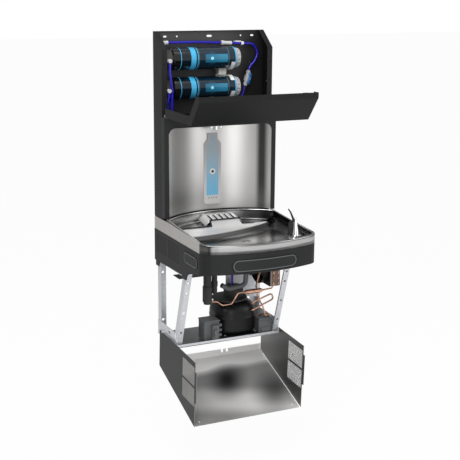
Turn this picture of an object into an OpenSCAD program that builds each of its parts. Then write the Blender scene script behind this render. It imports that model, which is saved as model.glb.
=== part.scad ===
// Wall-hung bottle filling station and drinking fountain, opened for service.
// X runs to the right, the front faces -Y, the wall is the plane Y = 0 and Z is up.
// The origin is the centre of the four wall bolts in the rear posts.
// The upper cover and the lower shroud are drawn in the closed frame and swung open.

/* [Cabinet] */
// Width over the upper side walls
cabinet_w = 467; // [450:1:480]
// Depth of the upper side walls
cabinet_d = 88; // [84:1:92]
// Height of the cabinet top
cabinet_top = 1053; // [1046:1:1060]
// Thickness of the folded sheet
sheet_t = 1.5; // [1.2:0.1:2]
// Rise of the sloped top edge
slope_rise = 63; // [56:1:66]
// Flat at the top of the side wall
slope_flat = 7; // [5:1:9]
// Width of the inward flange on the wall's front edge
return_w = 22; // [16:1:26]
// Bottom of the upper back panel
back_bottom = 300; // [290:1:310]
// Height of the row of hanging holes
hanging_z = 1032; // [1028:1:1036]
// Spacing of the round hanging holes
hanging_w = 271; // [260:1:280]
// Spacing of the hanging slots
slot_w = 370; // [360:1:380]

/* [Alcove] */
// Width over the alcove bezel and the upper cover
bezel_w = 475; // [473:1:485]
// Depth of the bezel face in front of the wall
bezel_d = 121; // [118:1:126]
// Height of the bezel top
bezel_top = 736; // [730:1:742]
// Moulded thickness of the bezel
bezel_t = 2.5; // [2:0.1:3]
// Width of the alcove opening
alcove_w = 437; // [430:1:440]
// Height of the top of the opening
alcove_top = 695; // [690:1:699]
// Corner radius of the opening
alcove_r = 28; // [20:1:34]
// Distance of the liner from the wall at its deepest
liner_back = 33; // [30:1:40]
// Thickness of the stainless liner
liner_t = 1; // [0.8:0.1:1.5]

/* [Bottle window] */
// Half width of the bottle's body
bottle_r = 37; // [34:1:40]
// Half width of its neck
neck_r = 22; // [18:1:25]
// Height of its base
bottle_z = 372; // [366:1:378]
// Height of its lip
bottle_top = 656; // [650:1:662]
// Length of its straight body
bottle_body = 244; // [238:1:248]
// Length of its shoulder
shoulder_h = 16; // [12:1:20]
// Height of the sensor
sensor_z = 503; // [490:1:515]
// Radius of the sensor's ring
sensor_r = 12; // [10:0.5:14]

/* [Filters] */
// Radius of a filter cartridge
filter_r = 42; // [38:0.5:43]
// Height of the upper filter's axis
filter_z = 950; // [944:1:956]
// Drop from the upper filter to the lower one
filter_step = 112; // [104:1:116]
// Distance of the filter axes from the wall
filter_y = 46; // [45:0.5:47]
// Left end of the cartridges
filter_x = -184; // [-188:1:-180]
// Length of a cartridge with its end ring
filter_len = 263; // [255:1:268]
// Length of the scalloped end cap
grip_len = 21; // [16:1:24]
// Radius of the blue water tube
tube_r = 4.8; // [4.4:0.1:5]

/* [Upper cover] */
// Angle that the cover stands open
cover_open = 90; // [80:1:92]
// Depth of the cover's side flanges
cover_flange = 34; // [32:1:35]
// Height of the closed cover's top
cover_top = 1080; // [1076:1:1086]
// Height of the bend between the face and the slope
cover_bend = 1007; // [1004:1:1010]
// Width of the slope seen from the side
cover_run = 88; // [84:1:92]
// Width of the rear lip
lip_w = 20; // [16:1:24]
// Radius of both hinge pins
pin_r = 3; // [2.5:0.1:3.5]

/* [Basin] */
// Width over the apron and the end caps
station_w = 470; // [466:1:472]
// Depth of the station at the middle of the bow
station_d = 521; // [515:1:530]
// Radius of the bowed front
bow_r = 637; // [600:1:700]
// Radius of the front corners in plan
corner_r = 50; // [44:1:56]
// Height of the rim at the alcove
rim_rear = 346; // [343:1:349]
// Height of the rim at the front
rim_front = 321; // [318:1:324]
// Height of the bottom of the stainless band
band_z = 289; // [286:1:292]
// Depth of the ridge below the rim
ridge_drop = 22; // [18:1:24]
// Depth of the bowls below the ridge
bowl_drop = 20; // [14:1:22]
// Thickness of the basin's sheet
basin_t = 2; // [1.5:0.1:3]
// Radius of the waste outlet
waste_r = 16; // [14:0.5:18]

/* [Apron] */
// Height of the bottom of the apron
apron_z = 212; // [206:1:218]
// Thickness of the apron and of the side panels
shell_t = 3.5; // [3:0.1:4]
// Length of the front push bar
bar_len = 262; // [240:1:280]
// Height of the front push bar
bar_h = 47; // [40:1:54]
// Height of the middle of the push bars
bar_z = 243; // [241:1:246]
// Travel of the push bars
push_travel = 4; // [3:0.5:5]
// Width of a side push pad
pad_w = 126; // [116:1:130]
// Height of a side push pad
pad_h = 44; // [36:1:46]
// Bottom edge of the side panels
panel_z = 166; // [160:1:172]
// Rows of louvres in a side panel
louvre_rows = 10; // [6:1:12]
// Pitch of the louvres
louvre_pitch = 7.6; // [7:0.1:8]

/* [Bubbler] */
// Bubbler's place across the basin
bubbler_x = 146; // [138:1:152]
// Bubbler's distance from the wall
bubbler_y = 462; // [456:1:464]
// Height of the chrome body
bubbler_h = 64; // [54:1:72]
// Radius of the base flange
bubbler_r = 22; // [18:1:25]

/* [Frame] */
// Width over the posts
frame_w = 444; // [438:1:446]
// Bottom of the base pan
pan_z = -154; // [-160:1:-148]
// Depth of the base pan
pan_d = 205; // [200:1:208]
// Width of a post's face flange
post_w = 23; // [18:1:26]
// Depth of a post's side flange
post_d = 32; // [26:1:36]
// Angle of the front posts from upright
post_lean = 18.4; // [17.8:0.1:18.6]
// Spacing of the wall bolts across the posts
bolt_w = 404; // [398:1:408]
// Spacing of the wall bolts up the posts
bolt_h = 200; // [180:1:220]
// Radius of the wall bolt holes
bolt_r = 5.5; // [5:0.1:6]

/* [Shroud] */
// Width over the lower shroud
shroud_w = 462; // [461:0.5:463]
// Angle that the shroud stands open
shroud_open = 93; // [85:1:95]
// Height of the closed shroud
shroud_h = 365; // [355:1:367]
// Depth of the shroud at its closed bottom
shroud_foot = 157; // [156:1:160]
// Depth of the shroud at its closed top
shroud_head = 262; // [261:1:268]

/* [Refrigeration] */
// Radius of the compressor's shell
compressor_r = 90; // [84:1:92]
// Compressor's place across the pan
compressor_x = 58; // [54:1:62]
// Compressor's distance from the wall
compressor_y = 106; // [104:1:110]
// Radius of the fan blades
fan_r = 60; // [50:1:64]
// Number of fan blades
fan_blades = 5; // [3:1:7]

/* [Hidden] */
$fn = 48;
// Overrun of every cut
over = 1;
// Gap between parts that lie beside each other
gap = 0.3;
// Running clearance of a pin in its hole
run = 0.05;

half_w = cabinet_w / 2;
wall_in = half_w - sheet_t;
slope_run = cabinet_d - slope_flat;
slope_len = norm([slope_run, slope_rise]);
wall_bottom = 337;
flange_hole_r = 2;
flange_holes = [985, 932, 864, 812, 790, 757];

// Sheets and profiles
module across(x, t) { translate([x, 0, 0]) rotate([90, 0, 90]) linear_extrude(t) children(); }
module facing(y, t) { translate([0, y, 0]) rotate([90, 0, 0]) linear_extrude(t) children(); }
module block(lo, hi) { translate(lo) cube(hi - lo); }
module rod_z(at, r, h, fn = 48) { translate(at) cylinder(r = r, h = h, $fn = fn); }
module rod_x(at, r, h, fn = 48) { translate(at) rotate([0, 90, 0]) cylinder(r = r, h = h, $fn = fn); }
module rod_y(at, r, h, fn = 48) { translate(at) rotate([90, 0, 0]) cylinder(r = r, h = h, $fn = fn); }
module both_sides() { children(); mirror([1, 0, 0]) children(); }
module slot_2d(len, r) {
    for (s = [-1, 1]) translate([s * (len / 2 - r), 0]) circle(r);
    square([len - 2 * r, 2 * r], center = true);
}
module round_rect(w, h, r) {
    square([w - 2 * r, h], center = true);
    square([w, h - 2 * r], center = true);
    for (x = [-1, 1], y = [-1, 1]) translate([x * (w / 2 - r), y * (h / 2 - r)]) circle(r);
}

// A tube with round bends through corner points
function unit(v) = v / norm(v);
function bend_pts(a, b, c, r, n) =
    let (u = unit(a - b), v = unit(c - b), half = acos(u * v) / 2, reach = r / tan(half),
        centre = b + unit(u + v) * r / sin(half), p = b + u * reach, q = b + v * reach,
        e1 = unit(p - centre), e2 = unit((q - centre) - ((q - centre) * e1) * e1), turn = 180 - 2 * half)
    [for (i = [0 : n]) centre + r * (cos(turn * i / n) * e1 + sin(turn * i / n) * e2)];
function route(pts, r, n) = concat([pts[0]],
    [for (i = [1 : 1 : len(pts) - 2]) each bend_pts(pts[i - 1], pts[i], pts[i + 1], r, n)],
    [pts[len(pts) - 1]]);
function tangent(p, i) = unit(p[min(i + 1, len(p) - 1)] - p[max(i - 1, 0)]);
function carry(n, t) = unit(n - (n * t) * t);
function frames(p, i, n) = i == len(p) ? [] :
    let (t = tangent(p, i), m = carry(n, t)) concat([[p[i], m, cross(t, m)]], frames(p, i + 1, m));
module tube(corners, r, bend, sides = 10, steps = 4) {
    p = route(corners, bend, steps);
    t0 = tangent(p, 0);
    first = abs(t0.z) < 0.9 ? [0, 0, 1] : [0, 1, 0];
    rings = frames(p, 0, first);
    pts = [for (f = rings, k = [0 : sides - 1])
        f[0] + r * (cos(360 * k / sides) * f[1] + sin(360 * k / sides) * f[2])];
    quads = [for (i = [0 : len(rings) - 2], k = [0 : sides - 1])
        let (a = i * sides + k, b = i * sides + (k + 1) % sides)
        each [[a, b + sides, b], [a, a + sides, b + sides]]];
    last = (len(rings) - 1) * sides;
    polyhedron(pts, concat([[for (k = [0 : sides - 1]) k]], quads,
        [[for (k = [sides - 1 : -1 : 0]) last + k]]));
}

// Upper cabinet
slot_len = 14;
slot_r = 3.25;
hang_r = 3.25;
centre_slot_len = 22;
centre_slot_r = 4;
low_slot_z = 788;
low_slot_x = 183;
module back_panel() color("#5a5a5a") difference() {
    union() {
        block([-wall_in, -sheet_t, back_bottom], [wall_in, 0, cabinet_top]);
        block([gap + return_w - half_w, -slope_flat, cabinet_top - sheet_t],
            [half_w - return_w - gap, 0, cabinet_top]);
    }
    facing(over, sheet_t + 2 * over) translate([0, hanging_z]) {
        for (s = [-1, 1]) {
            translate([s * slot_w / 2, 0]) slot_2d(slot_len, slot_r);
            translate([s * hanging_w / 2, 0]) circle(hang_r);
        }
        slot_2d(centre_slot_len, centre_slot_r);
    }
    facing(over, sheet_t + 2 * over) for (x = [0, low_slot_x])
        translate([x, low_slot_z]) slot_2d(slot_len, slot_r);
}

slope_in = [slope_rise, -slope_run] * sheet_t / slope_len;
flange_top = cabinet_top - slope_rise;
function wall_outline() = [[0, wall_bottom], [0, cabinet_top], [-slope_flat, cabinet_top],
    [-cabinet_d, flange_top], [-cabinet_d, wall_bottom]];
function flange_outline() = let (t = sheet_t, c = [-slope_flat, cabinet_top] + slope_in,
        s = (c.x + cabinet_d - t) / slope_run)
    [[-cabinet_d, wall_bottom], [-cabinet_d, flange_top], [-slope_flat, cabinet_top], c,
        [t - cabinet_d, c.y - slope_rise * s], [t - cabinet_d, wall_bottom]];
module side_wall() color("#3f3f40") difference() {
    union() {
        across(-half_w, sheet_t) polygon(wall_outline());
        across(-half_w, return_w) polygon(flange_outline());
    }
    for (z = flange_holes) translate([-half_w + return_w / 2, over - cabinet_d, z]) rotate([90, 0, 0])
        rod_z([0, 0, -sheet_t - over], flange_hole_r, sheet_t + 3 * over);
    // Room for the bay floor, which runs forward under the bezel
    block([-wall_in, -cabinet_d - over, floor_z - gap], [0, 0, floor_z + sheet_t + gap]);
}
module side_wall_left() side_wall();
module side_wall_right() mirror([1, 0, 0]) side_wall();

// Bay floor between the filter bay and the alcove
floor_z = bezel_top - bezel_t - sheet_t;
floor_w = cabinet_w - 2 * sheet_t - 2 * gap;
floor_hole_r = 12;
feed_x = 0;
feed_y = 67;
module bay_floor() color("#1d1d1e") difference() {
    block([-floor_w / 2, bezel_t + gap - bezel_d, floor_z], [floor_w / 2, -sheet_t, floor_z + sheet_t]);
    for (p = floor_ports) rod_z([p.x, p.y, floor_z - over], floor_hole_r, sheet_t + 2 * over);
}

// Alcove
opening_mid = (alcove_top + rim_rear) / 2;
bezel_bottom = rim_rear + gap;
bezel_side = bezel_t;
bezel_lap = 3;
module alcove_bezel() color("#3a3b3c") difference() {
    block([-bezel_w / 2, -bezel_d, bezel_bottom], [bezel_w / 2, bezel_lap - cabinet_d, bezel_top]);
    // Hollow behind the face, open to the rear
    block([-bezel_w / 2 + bezel_side, bezel_t - bezel_d, bezel_bottom - over],
        [bezel_w / 2 - bezel_side, over + bezel_lap - cabinet_d, bezel_top - bezel_t]);
    // Notch that lets the top flange pass between the side walls
    for (s = [-1, 1]) translate([s * bezel_w / 2, gap * -1 - cabinet_d, bezel_top - bezel_t - over])
        mirror([s > 0 ? 1 : 0, 0, 0])
        block([bezel_side, 0, 0], [(bezel_w - cabinet_w) / 2 + return_w + gap, cabinet_d,
            bezel_t + 2 * over]);
    facing(over - bezel_d + bezel_t, bezel_t + 2 * over) {
        translate([0, alcove_top - alcove_r]) square([alcove_w - 2 * alcove_r, 2 * alcove_r],
            center = true);
        for (s = [-1, 1]) translate([s * (alcove_w / 2 - alcove_r), alcove_top - alcove_r])
            circle(alcove_r);
        translate([-alcove_w / 2, bezel_bottom - over])
            square([alcove_w, alcove_top - alcove_r - bezel_bottom + over]);
    }
}

chord = alcove_w / 2 + 2 * liner_t;
sagitta = bezel_d - bezel_t - liner_back - gap;
liner_r = (chord * chord + sagitta * sagitta) / (2 * sagitta);
liner_cy = -liner_back - liner_r;
function liner_y(x) = liner_cy + sqrt(liner_r * liner_r - x * x);
ceiling_z = alcove_top + 5;
module liner_2d(grow) translate([0, liner_cy]) circle(liner_r + grow, $fn = 180);
module liner_band_2d(front) intersection() {
    difference() { liner_2d(liner_t); liner_2d(0); }
    translate([-2 * chord, front]) square([4 * chord, 2 * sagitta]);
}
window_front = liner_back + 3.5;
window_t = 6;
base_r = 12;
base_steps = 6;
body_top = bottle_z + bottle_body;
function quarter(c, r, from) = [for (i = [0 : base_steps])
    c + r * [cos(from + 90 * i / base_steps), sin(from + 90 * i / base_steps)]];
module bottle_2d(g) polygon(concat(
    quarter([base_r - bottle_r, bottle_z + base_r], base_r + g, 180),
    quarter([bottle_r - base_r, bottle_z + base_r], base_r + g, 270),
    [[bottle_r + g, body_top], [neck_r + g, body_top + shoulder_h], [neck_r + g, bottle_top + g],
        [-neck_r - g, bottle_top + g], [-neck_r - g, body_top + shoulder_h], [-bottle_r - g, body_top]]));
module alcove_liner() color("#c9c7c4") difference() {
    translate([0, 0, rim_rear + gap]) linear_extrude(ceiling_z - rim_rear - gap)
        liner_band_2d(bezel_t + gap - bezel_d);
    facing(0, bezel_d) bottle_2d(2 * gap);
}
module alcove_ceiling() color("#2c2d2e") translate([0, 0, ceiling_z]) linear_extrude(bezel_t)
    difference() {
        intersection() {
            liner_2d(liner_t);
            translate([-chord, bezel_t + gap - bezel_d]) square([2 * chord, 2 * sagitta]);
        }
        translate([feed_x, -feed_y]) circle(tube_r + gap);
    }
module bottle_window() color("#7fb2cc") difference() {
    facing(window_t - window_front, window_t) bottle_2d(0);
    translate([0, -window_front - over, sensor_z]) rotate([-90, 0, 0])
        cylinder(r = lens_r + gap, h = window_t + 2 * over);
}
lens_r = 5;
ring_t = 1.6;
lens_out = 1;
module sensor_ring() color("#e9e9e6") translate([0, -window_front, sensor_z]) rotate([90, 0, 0])
    difference() {
        union() {
            cylinder(r = sensor_r, h = ring_t / 2);
            translate([0, 0, ring_t / 2]) cylinder(r1 = sensor_r, r2 = sensor_r - ring_t, h = ring_t / 2);
        }
        rod_z([0, 0, -over], lens_r + gap, ring_t + 2 * over);
    }
module sensor_lens() color("#101012") rod_y([0, window_t - window_front, sensor_z], lens_r,
    window_t + ring_t + lens_out);
light_z = 396;
light_r = 2.2;
light_pitch = 11;
light_t = 0.8;
module indicator_lights() color("#4c5a60") for (i = [-1.5 : 1 : 1.5])
    rod_y([i * light_pitch, -window_front, light_z], light_r, light_t);

nozzle_w = 62;
nozzle_d = 34;
nozzle_plate = 6;
nozzle_h = 26;
nozzle_r = 12;
spray_r = 8;
module fill_nozzle() color("#d7d9db") translate([feed_x, -feed_y, ceiling_z]) difference() {
    union() {
        translate([0, 0, -nozzle_plate]) linear_extrude(nozzle_plate) slot_2d(nozzle_w, nozzle_d / 2);
        rod_z([0, 0, -nozzle_h], nozzle_r, nozzle_h - nozzle_plate);
        rod_z([0, 0, -nozzle_h + over], nozzle_r + over, nozzle_plate);
        for (s = [-1, 1]) rod_z([s * (nozzle_w / 2 - spray_r - 2 * over), 0, -nozzle_h + nozzle_plate],
            spray_r, nozzle_h - 2 * nozzle_plate);
    }
    rod_z([0, 0, -nozzle_h - over], spray_r, nozzle_plate);
}

// Filters
filter_end = filter_x + filter_len;
filter_zs = [filter_z, filter_z - filter_step];
head_r = 36;
head_len = 36;
neck_len = 15;
filter_neck_r = 20;
foot_w = 40;
module along_x(z) { translate([filter_x, -filter_y, z]) rotate([0, 90, 0]) children(); }
module filter_head(z) {
    difference() {
        union() {
            along_x(z) rod_z([0, 0, -gap - head_len], head_r, head_len);
            block([filter_x - gap - head_len, -filter_y, z - foot_w / 2],
                [filter_x - gap - head_len / 3, -sheet_t, z + foot_w / 2]);
        }
        along_x(z) rod_z([0, 0, -gap - neck_len - over], filter_neck_r + run, neck_len + 2 * over);
    }
}
stub_y = 88;
stub_drop = 4;
stub_x = [-200, -203.5];
stubs = [[stub_x[0], filter_zs[0] - stub_drop], [stub_x[1], filter_zs[1] - stub_drop]];
module filter_heads() color("#2a2b2d") difference() {
    for (z = filter_zs) filter_head(z);
    for (p = stubs) rod_y([p.x, gap - stub_in, p.y], union_r + gap, head_r);
    rod_z([stub_x[0], left_run[2].y, filter_z + foot_w / 2 - gap], union_r + gap, head_r);
}
end_ring = 5;
shell_end = filter_len - end_ring;
dome = 6;
module filter_shell(z) color("#0a1622") along_x(z) {
    rod_z([0, 0, -neck_len], filter_neck_r, neck_len);
    cylinder(r1 = filter_r - dome, r2 = filter_r, h = dome);
    rod_z([0, 0, dome], filter_r, shell_end - dome);
}
module filter_upper() filter_shell(filter_zs[0]);
module filter_lower() filter_shell(filter_zs[1]);
band_t = 0.5;
// Start and length of each coloured band along the cartridge
band_places = [[31, 2.5], [73, 21], [100, 3]];
module filter_bands(z) color("#3fa3cc") along_x(z) {
    for (b = band_places) translate([0, 0, b[0]]) difference() {
        cylinder(r = filter_r + band_t, h = b[1]);
        rod_z([0, 0, -over], filter_r + run, b[1] + 2 * over);
    }
    rod_z([0, 0, shell_end], filter_r + band_t, end_ring);
}
module filter_bands_upper() filter_bands(filter_zs[0]);
module filter_bands_lower() filter_bands(filter_zs[1]);
scallops = 14;
scallop_r = 5;
grip_r = 39;
module filter_grip(z) color("#b9b5b6") along_x(z) translate([0, 0, filter_len]) difference() {
    union() {
        cylinder(r = grip_r, h = grip_len / 2);
        translate([0, 0, grip_len / 2]) cylinder(r1 = grip_r, r2 = grip_r - dome / 2, h = grip_len / 2);
    }
    for (i = [0 : scallops - 1]) rotate(i * 360 / scallops) rod_z([grip_r + scallop_r / 3, 0,
        grip_len / 3], scallop_r, grip_len);
    rod_z([0, 0, grip_len - dome], grip_r / 2, grip_len);
}
module filter_grip_upper() filter_grip(filter_zs[0]);
module filter_grip_lower() filter_grip(filter_zs[1]);

saddle_t = 3;
saddle_w = 15;
saddle_x = 58;
tab_w = 30;
module filter_saddles() color("#dcdcd8") difference() {
    union() {
        for (z = filter_zs) rod_x([saddle_x, -filter_y, z], filter_r + band_t + gap + saddle_t, saddle_w);
        block([saddle_x - tab_w, -sheet_t - saddle_t, filter_zs[1] - filter_r],
            [saddle_x + saddle_w, -sheet_t, filter_zs[0] + filter_r / 2]);
        block([saddle_x - tab_w, -filter_y + saddle_w, filter_zs[1] + filter_r + saddle_t],
            [saddle_x, -sheet_t, filter_zs[0] - filter_r - saddle_t]);
    }
    for (z = filter_zs) {
        rod_x([saddle_x - tab_w - over, -filter_y, z], filter_r + band_t + gap,
            tab_w + saddle_w + 2 * over);
        block([saddle_x - over, -filter_y - 2 * filter_r, z - filter_r / 3],
            [saddle_x + saddle_w + over, -sheet_t - saddle_t, z + 2 * filter_r / 3]);
    }
    block([saddle_x - over, -cabinet_d * 2, filter_zs[0] - filter_r / 3],
        [saddle_x + saddle_w + over, -sheet_t - saddle_t, filter_zs[0] + 2 * filter_r]);
    block([saddle_x - over, -sheet_t, filter_zs[1] - 2 * filter_r],
        [saddle_x + saddle_w + over, over, filter_zs[0] + 2 * filter_r]);
}

// Water line: corner points of each run of the blue tube
tube_bend = 16;
valve_top = [163, -22, 896];
valve_foot = [146, -22, 836];
supply_run = [[90, -14, 1004], [186, -14, 1000], [208, -14, 962], [190, -18, 930], [167, -22, 910],
    valve_top];
left_run = [[45, -14, 1006], [-60, -14, 1010], [-181, -20, 1010]];
drop_run = [valve_foot, [137.5, -22, 806], [124, -22, 780], [122, -22, 650], [20, -18, 540],
    [20, -18, 240], [20, -34, 190], [20, -34, 120]];
outlet_run = [[-200, -88, 938], [-200, -88, 905], [-190, -88, 830], [-190, -78, 700], [-190, -78, 238],
    [-84, -178, 200], [-84, -178, 128.8]];
link_run = [[-203.5, -88, 826], [-203.5, -88, 808], [-206, -78, 780], [-206, -78, 290], [-190, -56, 260],
    [-80, -56, 236], [-50, -110, 200], [-50, -170, 180], [-50, -170, 128.8]];
feed_run = [[0, -67, 700], [0, -67, 718], [0, -18, 718], [0, -18, 240], [38, -60, 205], [56, -108, 160],
    [56, -108, 42.3]];
floor_ports = [[122, -22], [-190, -79], [-206, -78]];
module water_tubes() color("#120c9c") {
    tube(supply_run, tube_r, tube_bend);
    tube(left_run, tube_r, tube_bend);
    tube(drop_run, tube_r, tube_bend);
    tube(outlet_run, tube_r, tube_bend);
    tube(link_run, tube_r, tube_bend);
    tube(feed_run, tube_r, tube_bend);
}
union_r = 7.5;
union_collar = 9;
union_len = 9;
elbow_len = 25;
stub_in = filter_y + filter_neck_r + over;
module fitting(a, b, r) {
    d = b - a;
    translate(a) rotate([0, acos(d.z / norm(d)), atan2(d.y, d.x)]) cylinder(r = r, h = norm(d));
}
module tube_fittings() color("#c9c8c6") {
    // Straight union between the two upper runs
    way = unit(supply_run[0] - left_run[0]);
    fitting(left_run[0] + gap * way, supply_run[0] - gap * way, union_r);
    fitting(left_run[0] + 2 * over * way, left_run[0] + (2 * over + union_len) * way, union_collar);
    // Elbow at the left wall that turns down into the upper head
    bend = left_run[2] - [gap, 0, 0];
    fitting(bend, bend - [elbow_len, 0, 0], union_r);
    fitting([stub_x[0], bend.y, bend.z + union_r], [stub_x[0], bend.y, filter_zs[0] + foot_w / 2],
        union_r);
    // Stub elbows of the outlet and link tubes on the heads
    for (p = stubs) fitting([p.x, -stub_y - union_r, p.y], [p.x, -stub_in, p.y], union_r);
}
clip_x = 136;
clip_z = 1002.1;
clip_w = 10;
clip_wall = 2;
clip_r = tube_r + gap + clip_wall;
module tube_clip() color("#e4e3df") difference() {
    axis_y = supply_run[0].y;
    union() {
        rod_x([clip_x - clip_w / 2, axis_y, clip_z], clip_r, clip_w);
        block([clip_x - clip_w / 2, axis_y, clip_z], [clip_x + clip_w / 2, -sheet_t, clip_z + clip_r]);
        block([clip_x - 3 * clip_w, -sheet_t - clip_wall, clip_z], [clip_x, -sheet_t,
            clip_z + 2 * tube_r]);
    }
    rod_x([clip_x - clip_w, axis_y, clip_z], tube_r + gap, 2 * clip_w);
    rod_y([back_screws[0].x, over, back_screws[0].y], screw_r + gap, 2 * clip_w);
}

// Shut-off valve, drawn along its own axis and tilted into the line
valve_dir = unit(valve_top - valve_foot);
valve_len = norm(valve_top - valve_foot);
valve_turn = 38;
valve_r = 7.5;
hub_r = 10;
hub_len = 22;
stem_r = 4;
stem_len = 17;
module in_valve() {
    translate(valve_foot) rotate([0, acos(valve_dir.z), 0]) rotate(valve_turn)
        translate([0, 0, valve_len / 2]) children();
}
module valve_body() color("#a3a1a5") in_valve() {
    difference() {
        union() {
            rod_z([0, 0, -valve_len / 2], valve_r, valve_len);
            rod_z([0, 0, -hub_len / 2], hub_r, hub_len, 6);
            for (s = [0, 1]) mirror([0, 0, s]) rod_z([0, 0, valve_len / 2 - hub_len / 2], hub_r - over,
                hub_len / 3);
            rotate([90, 0, 0]) cylinder(r = stem_r, h = stem_len);
        }
    }
}
handle_len = 46;
handle_w = 13;
handle_t = 6;
module valve_handle() color("#2f74b5") in_valve() translate([0, gap - hub_r, 0]) rotate([90, 0, 0])
    difference() {
        union() {
            translate([0, 0, gap]) rotate(90) linear_extrude(handle_t) slot_2d(handle_len, handle_w / 2);
            cylinder(r = stem_r + 2 * over, h = handle_t);
        }
        rod_z([0, 0, -over], stem_r + run, handle_t + 3 * over);
    }

screw_r = 3.6;
screw_h = 2.4;
back_screws = [[110, 1008], [178, 925], [150, 780]];
wall_screw_z = 852;
module bay_screws() color("#e6e6e6") {
    // Screws in the back panel
    for (p = back_screws) rod_y([p.x, -sheet_t, p.y], screw_r, screw_h);
    // Screws inside the two side walls
    both_sides() translate([wall_in, -cabinet_d / 2, wall_screw_z]) rotate([0, -90, 0])
        cylinder(r = screw_r, h = screw_h);
}

// Upper cover
hinge = [-117, 744.5];
hinge_x = 231;
cover_y = bezel_d + over;
cover_bottom = 738.5;
flange_start = 758;
lip_y = cover_y - cover_run;
cover_slope = unit([cover_run, cover_top - cover_bend]);
function cover_outer() = [[-cover_y, cover_bottom], [-cover_y, cover_bend], [-lip_y, cover_top],
    [lip_w - lip_y, cover_top]];
function inset_cover(d) = let (k = (1 - cover_slope.y) / cover_slope.x,
        m = (1 - cover_slope.x) / cover_slope.y)
    [[lip_w - lip_y, cover_top - d], [d * m - lip_y, cover_top - d],
        [d - cover_y, cover_bend - d * k], [d - cover_y, cover_bottom]];
module swing(at, angle) {
    translate([0, at.x, at.y]) rotate([angle, 0, 0]) translate([0, -at.x, -at.y]) children();
}
ear_r = 6;
ear_t = 2;
module upper_cover() color("#292b2c") swing(hinge, cover_open) difference() {
    union() {
        across(-bezel_w / 2, bezel_w) polygon(concat(cover_outer(), inset_cover(sheet_t)));
        // Side flanges
        both_sides() across(-bezel_w / 2, sheet_t) difference() {
            polygon(concat(cover_outer(), inset_cover(cover_flange)));
            translate([-cover_y + sheet_t, cover_bottom - over])
                square([cover_flange, flange_start - cover_bottom + over]);
        }
        // Ears that carry the hinge pins
        both_sides() across(-hinge_x - ear_t, ear_t) {
            translate(hinge) circle(ear_r);
            translate([-cover_y + sheet_t / 2, hinge.y])
                square([cover_y + hinge.x + ear_r - sheet_t / 2, flange_start - hinge.y + ear_r]);
        }
        // Catch tab on the rear lip
        both_sides() block([bezel_w / 2 - 3 * lip_w, -lip_y + lip_w - sheet_t, cover_top - lip_w / 2],
            [bezel_w / 2 - 2 * lip_w, lip_w - lip_y, cover_top]);
    }
    both_sides() across(-hinge_x - ear_t - over, ear_t + 2 * over) translate(hinge) circle(pin_r + run);
    // Notches that clear the hinge brackets
    both_sides() block([-hinge_x, -cover_y - over, cover_bottom - over],
        [-bracket_x + 6 * bracket_t + 2 * gap, hinge.x + ear_r, hinge.y + ear_r]);
    // Screw holes in the lip
    for (x = [-bezel_w / 2 + lip_w, bezel_w / 2 - lip_w])
        rod_z([x, -lip_y + lip_w / 2, cover_top - 2 * sheet_t], flange_hole_r, 4 * sheet_t);
}
bracket_x = hinge_x - gap;
bracket_t = 2;
module cover_hinges() color("#9a9b9d") both_sides() {
    across(-bracket_x, bracket_t) {
        translate(hinge) circle(ear_r - over);
        translate([hinge.x - ear_r + over, bezel_top]) square([2 * (ear_r - over), hinge.y - bezel_top]);
    }
    block([-bracket_x, hinge.x - ear_r + over, bezel_top],
        [-bracket_x + 6 * bracket_t, hinge.x + 3 * ear_r, bezel_top + sheet_t]);
    rod_x([-hinge_x - ear_t - bracket_t / 2, hinge.x, hinge.y], pin_r, ear_t + 2 * bracket_t);
}

// Plan outline of the bowed front, drawn from its own arcs
half_s = station_w / 2;
bow_y = bow_r - station_d;
corner_x = half_s - corner_r;
corner_y = bow_y - sqrt(pow(bow_r - corner_r, 2) - corner_x * corner_x);
module deck_2d(inset) {
    far = 2;
    translate([-half_s + inset, corner_y]) square([2 * (half_s - inset), -corner_y]);
    for (s = [-1, 1]) translate([s * corner_x, corner_y]) circle(corner_r - inset);
    intersection() {
        translate([0, bow_y]) circle(bow_r - inset, $fn = 240);
        polygon([[0, bow_y], [corner_x, corner_y - bow_y] * far + [0, bow_y],
            [-corner_x, corner_y - bow_y] * far + [0, bow_y]]);
    }
}

// Basin
cap_t = 4;
rim_w = 10;
rim_slope = (rim_rear - rim_front) / (station_d - bezel_d);
function rim_z(y) = rim_rear + (y + bezel_d) * rim_slope;
basin_front = corner_y - 3;
rear_y = -cabinet_d - 40;
module below_rim(drop) across(-station_w, 2 * station_w)
    polygon([[0, rim_rear - drop], [-bezel_d, rim_rear - drop], [-2 * station_d,
        rim_z(-2 * station_d) - drop],
        [-2 * station_d, 0], [0, 0]]);
// The deck ends at the liner, whose curve its rear edge follows
module deck_plan(inset) intersection() {
    deck_2d(inset);
    union() {
        translate([-station_w, -2 * station_d]) square([2 * station_w, 2 * station_d - bezel_d - inset]);
        liner_2d(-gap - inset);
    }
}
ridge_r = 810;
ridge_at = [-215, 521];
bowl_inset = rim_w + 6;
bowl_taper = 12;
front_floor = rim_front - ridge_drop - bowl_drop / 2;
rear_floor = rim_rear - ridge_drop - bowl_drop;
rear_bowl_front = 146;
rear_bowl_half = 196;
rear_bowl_inset = 10;
rear_taper = 4;
drain_y = 350;
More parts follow.
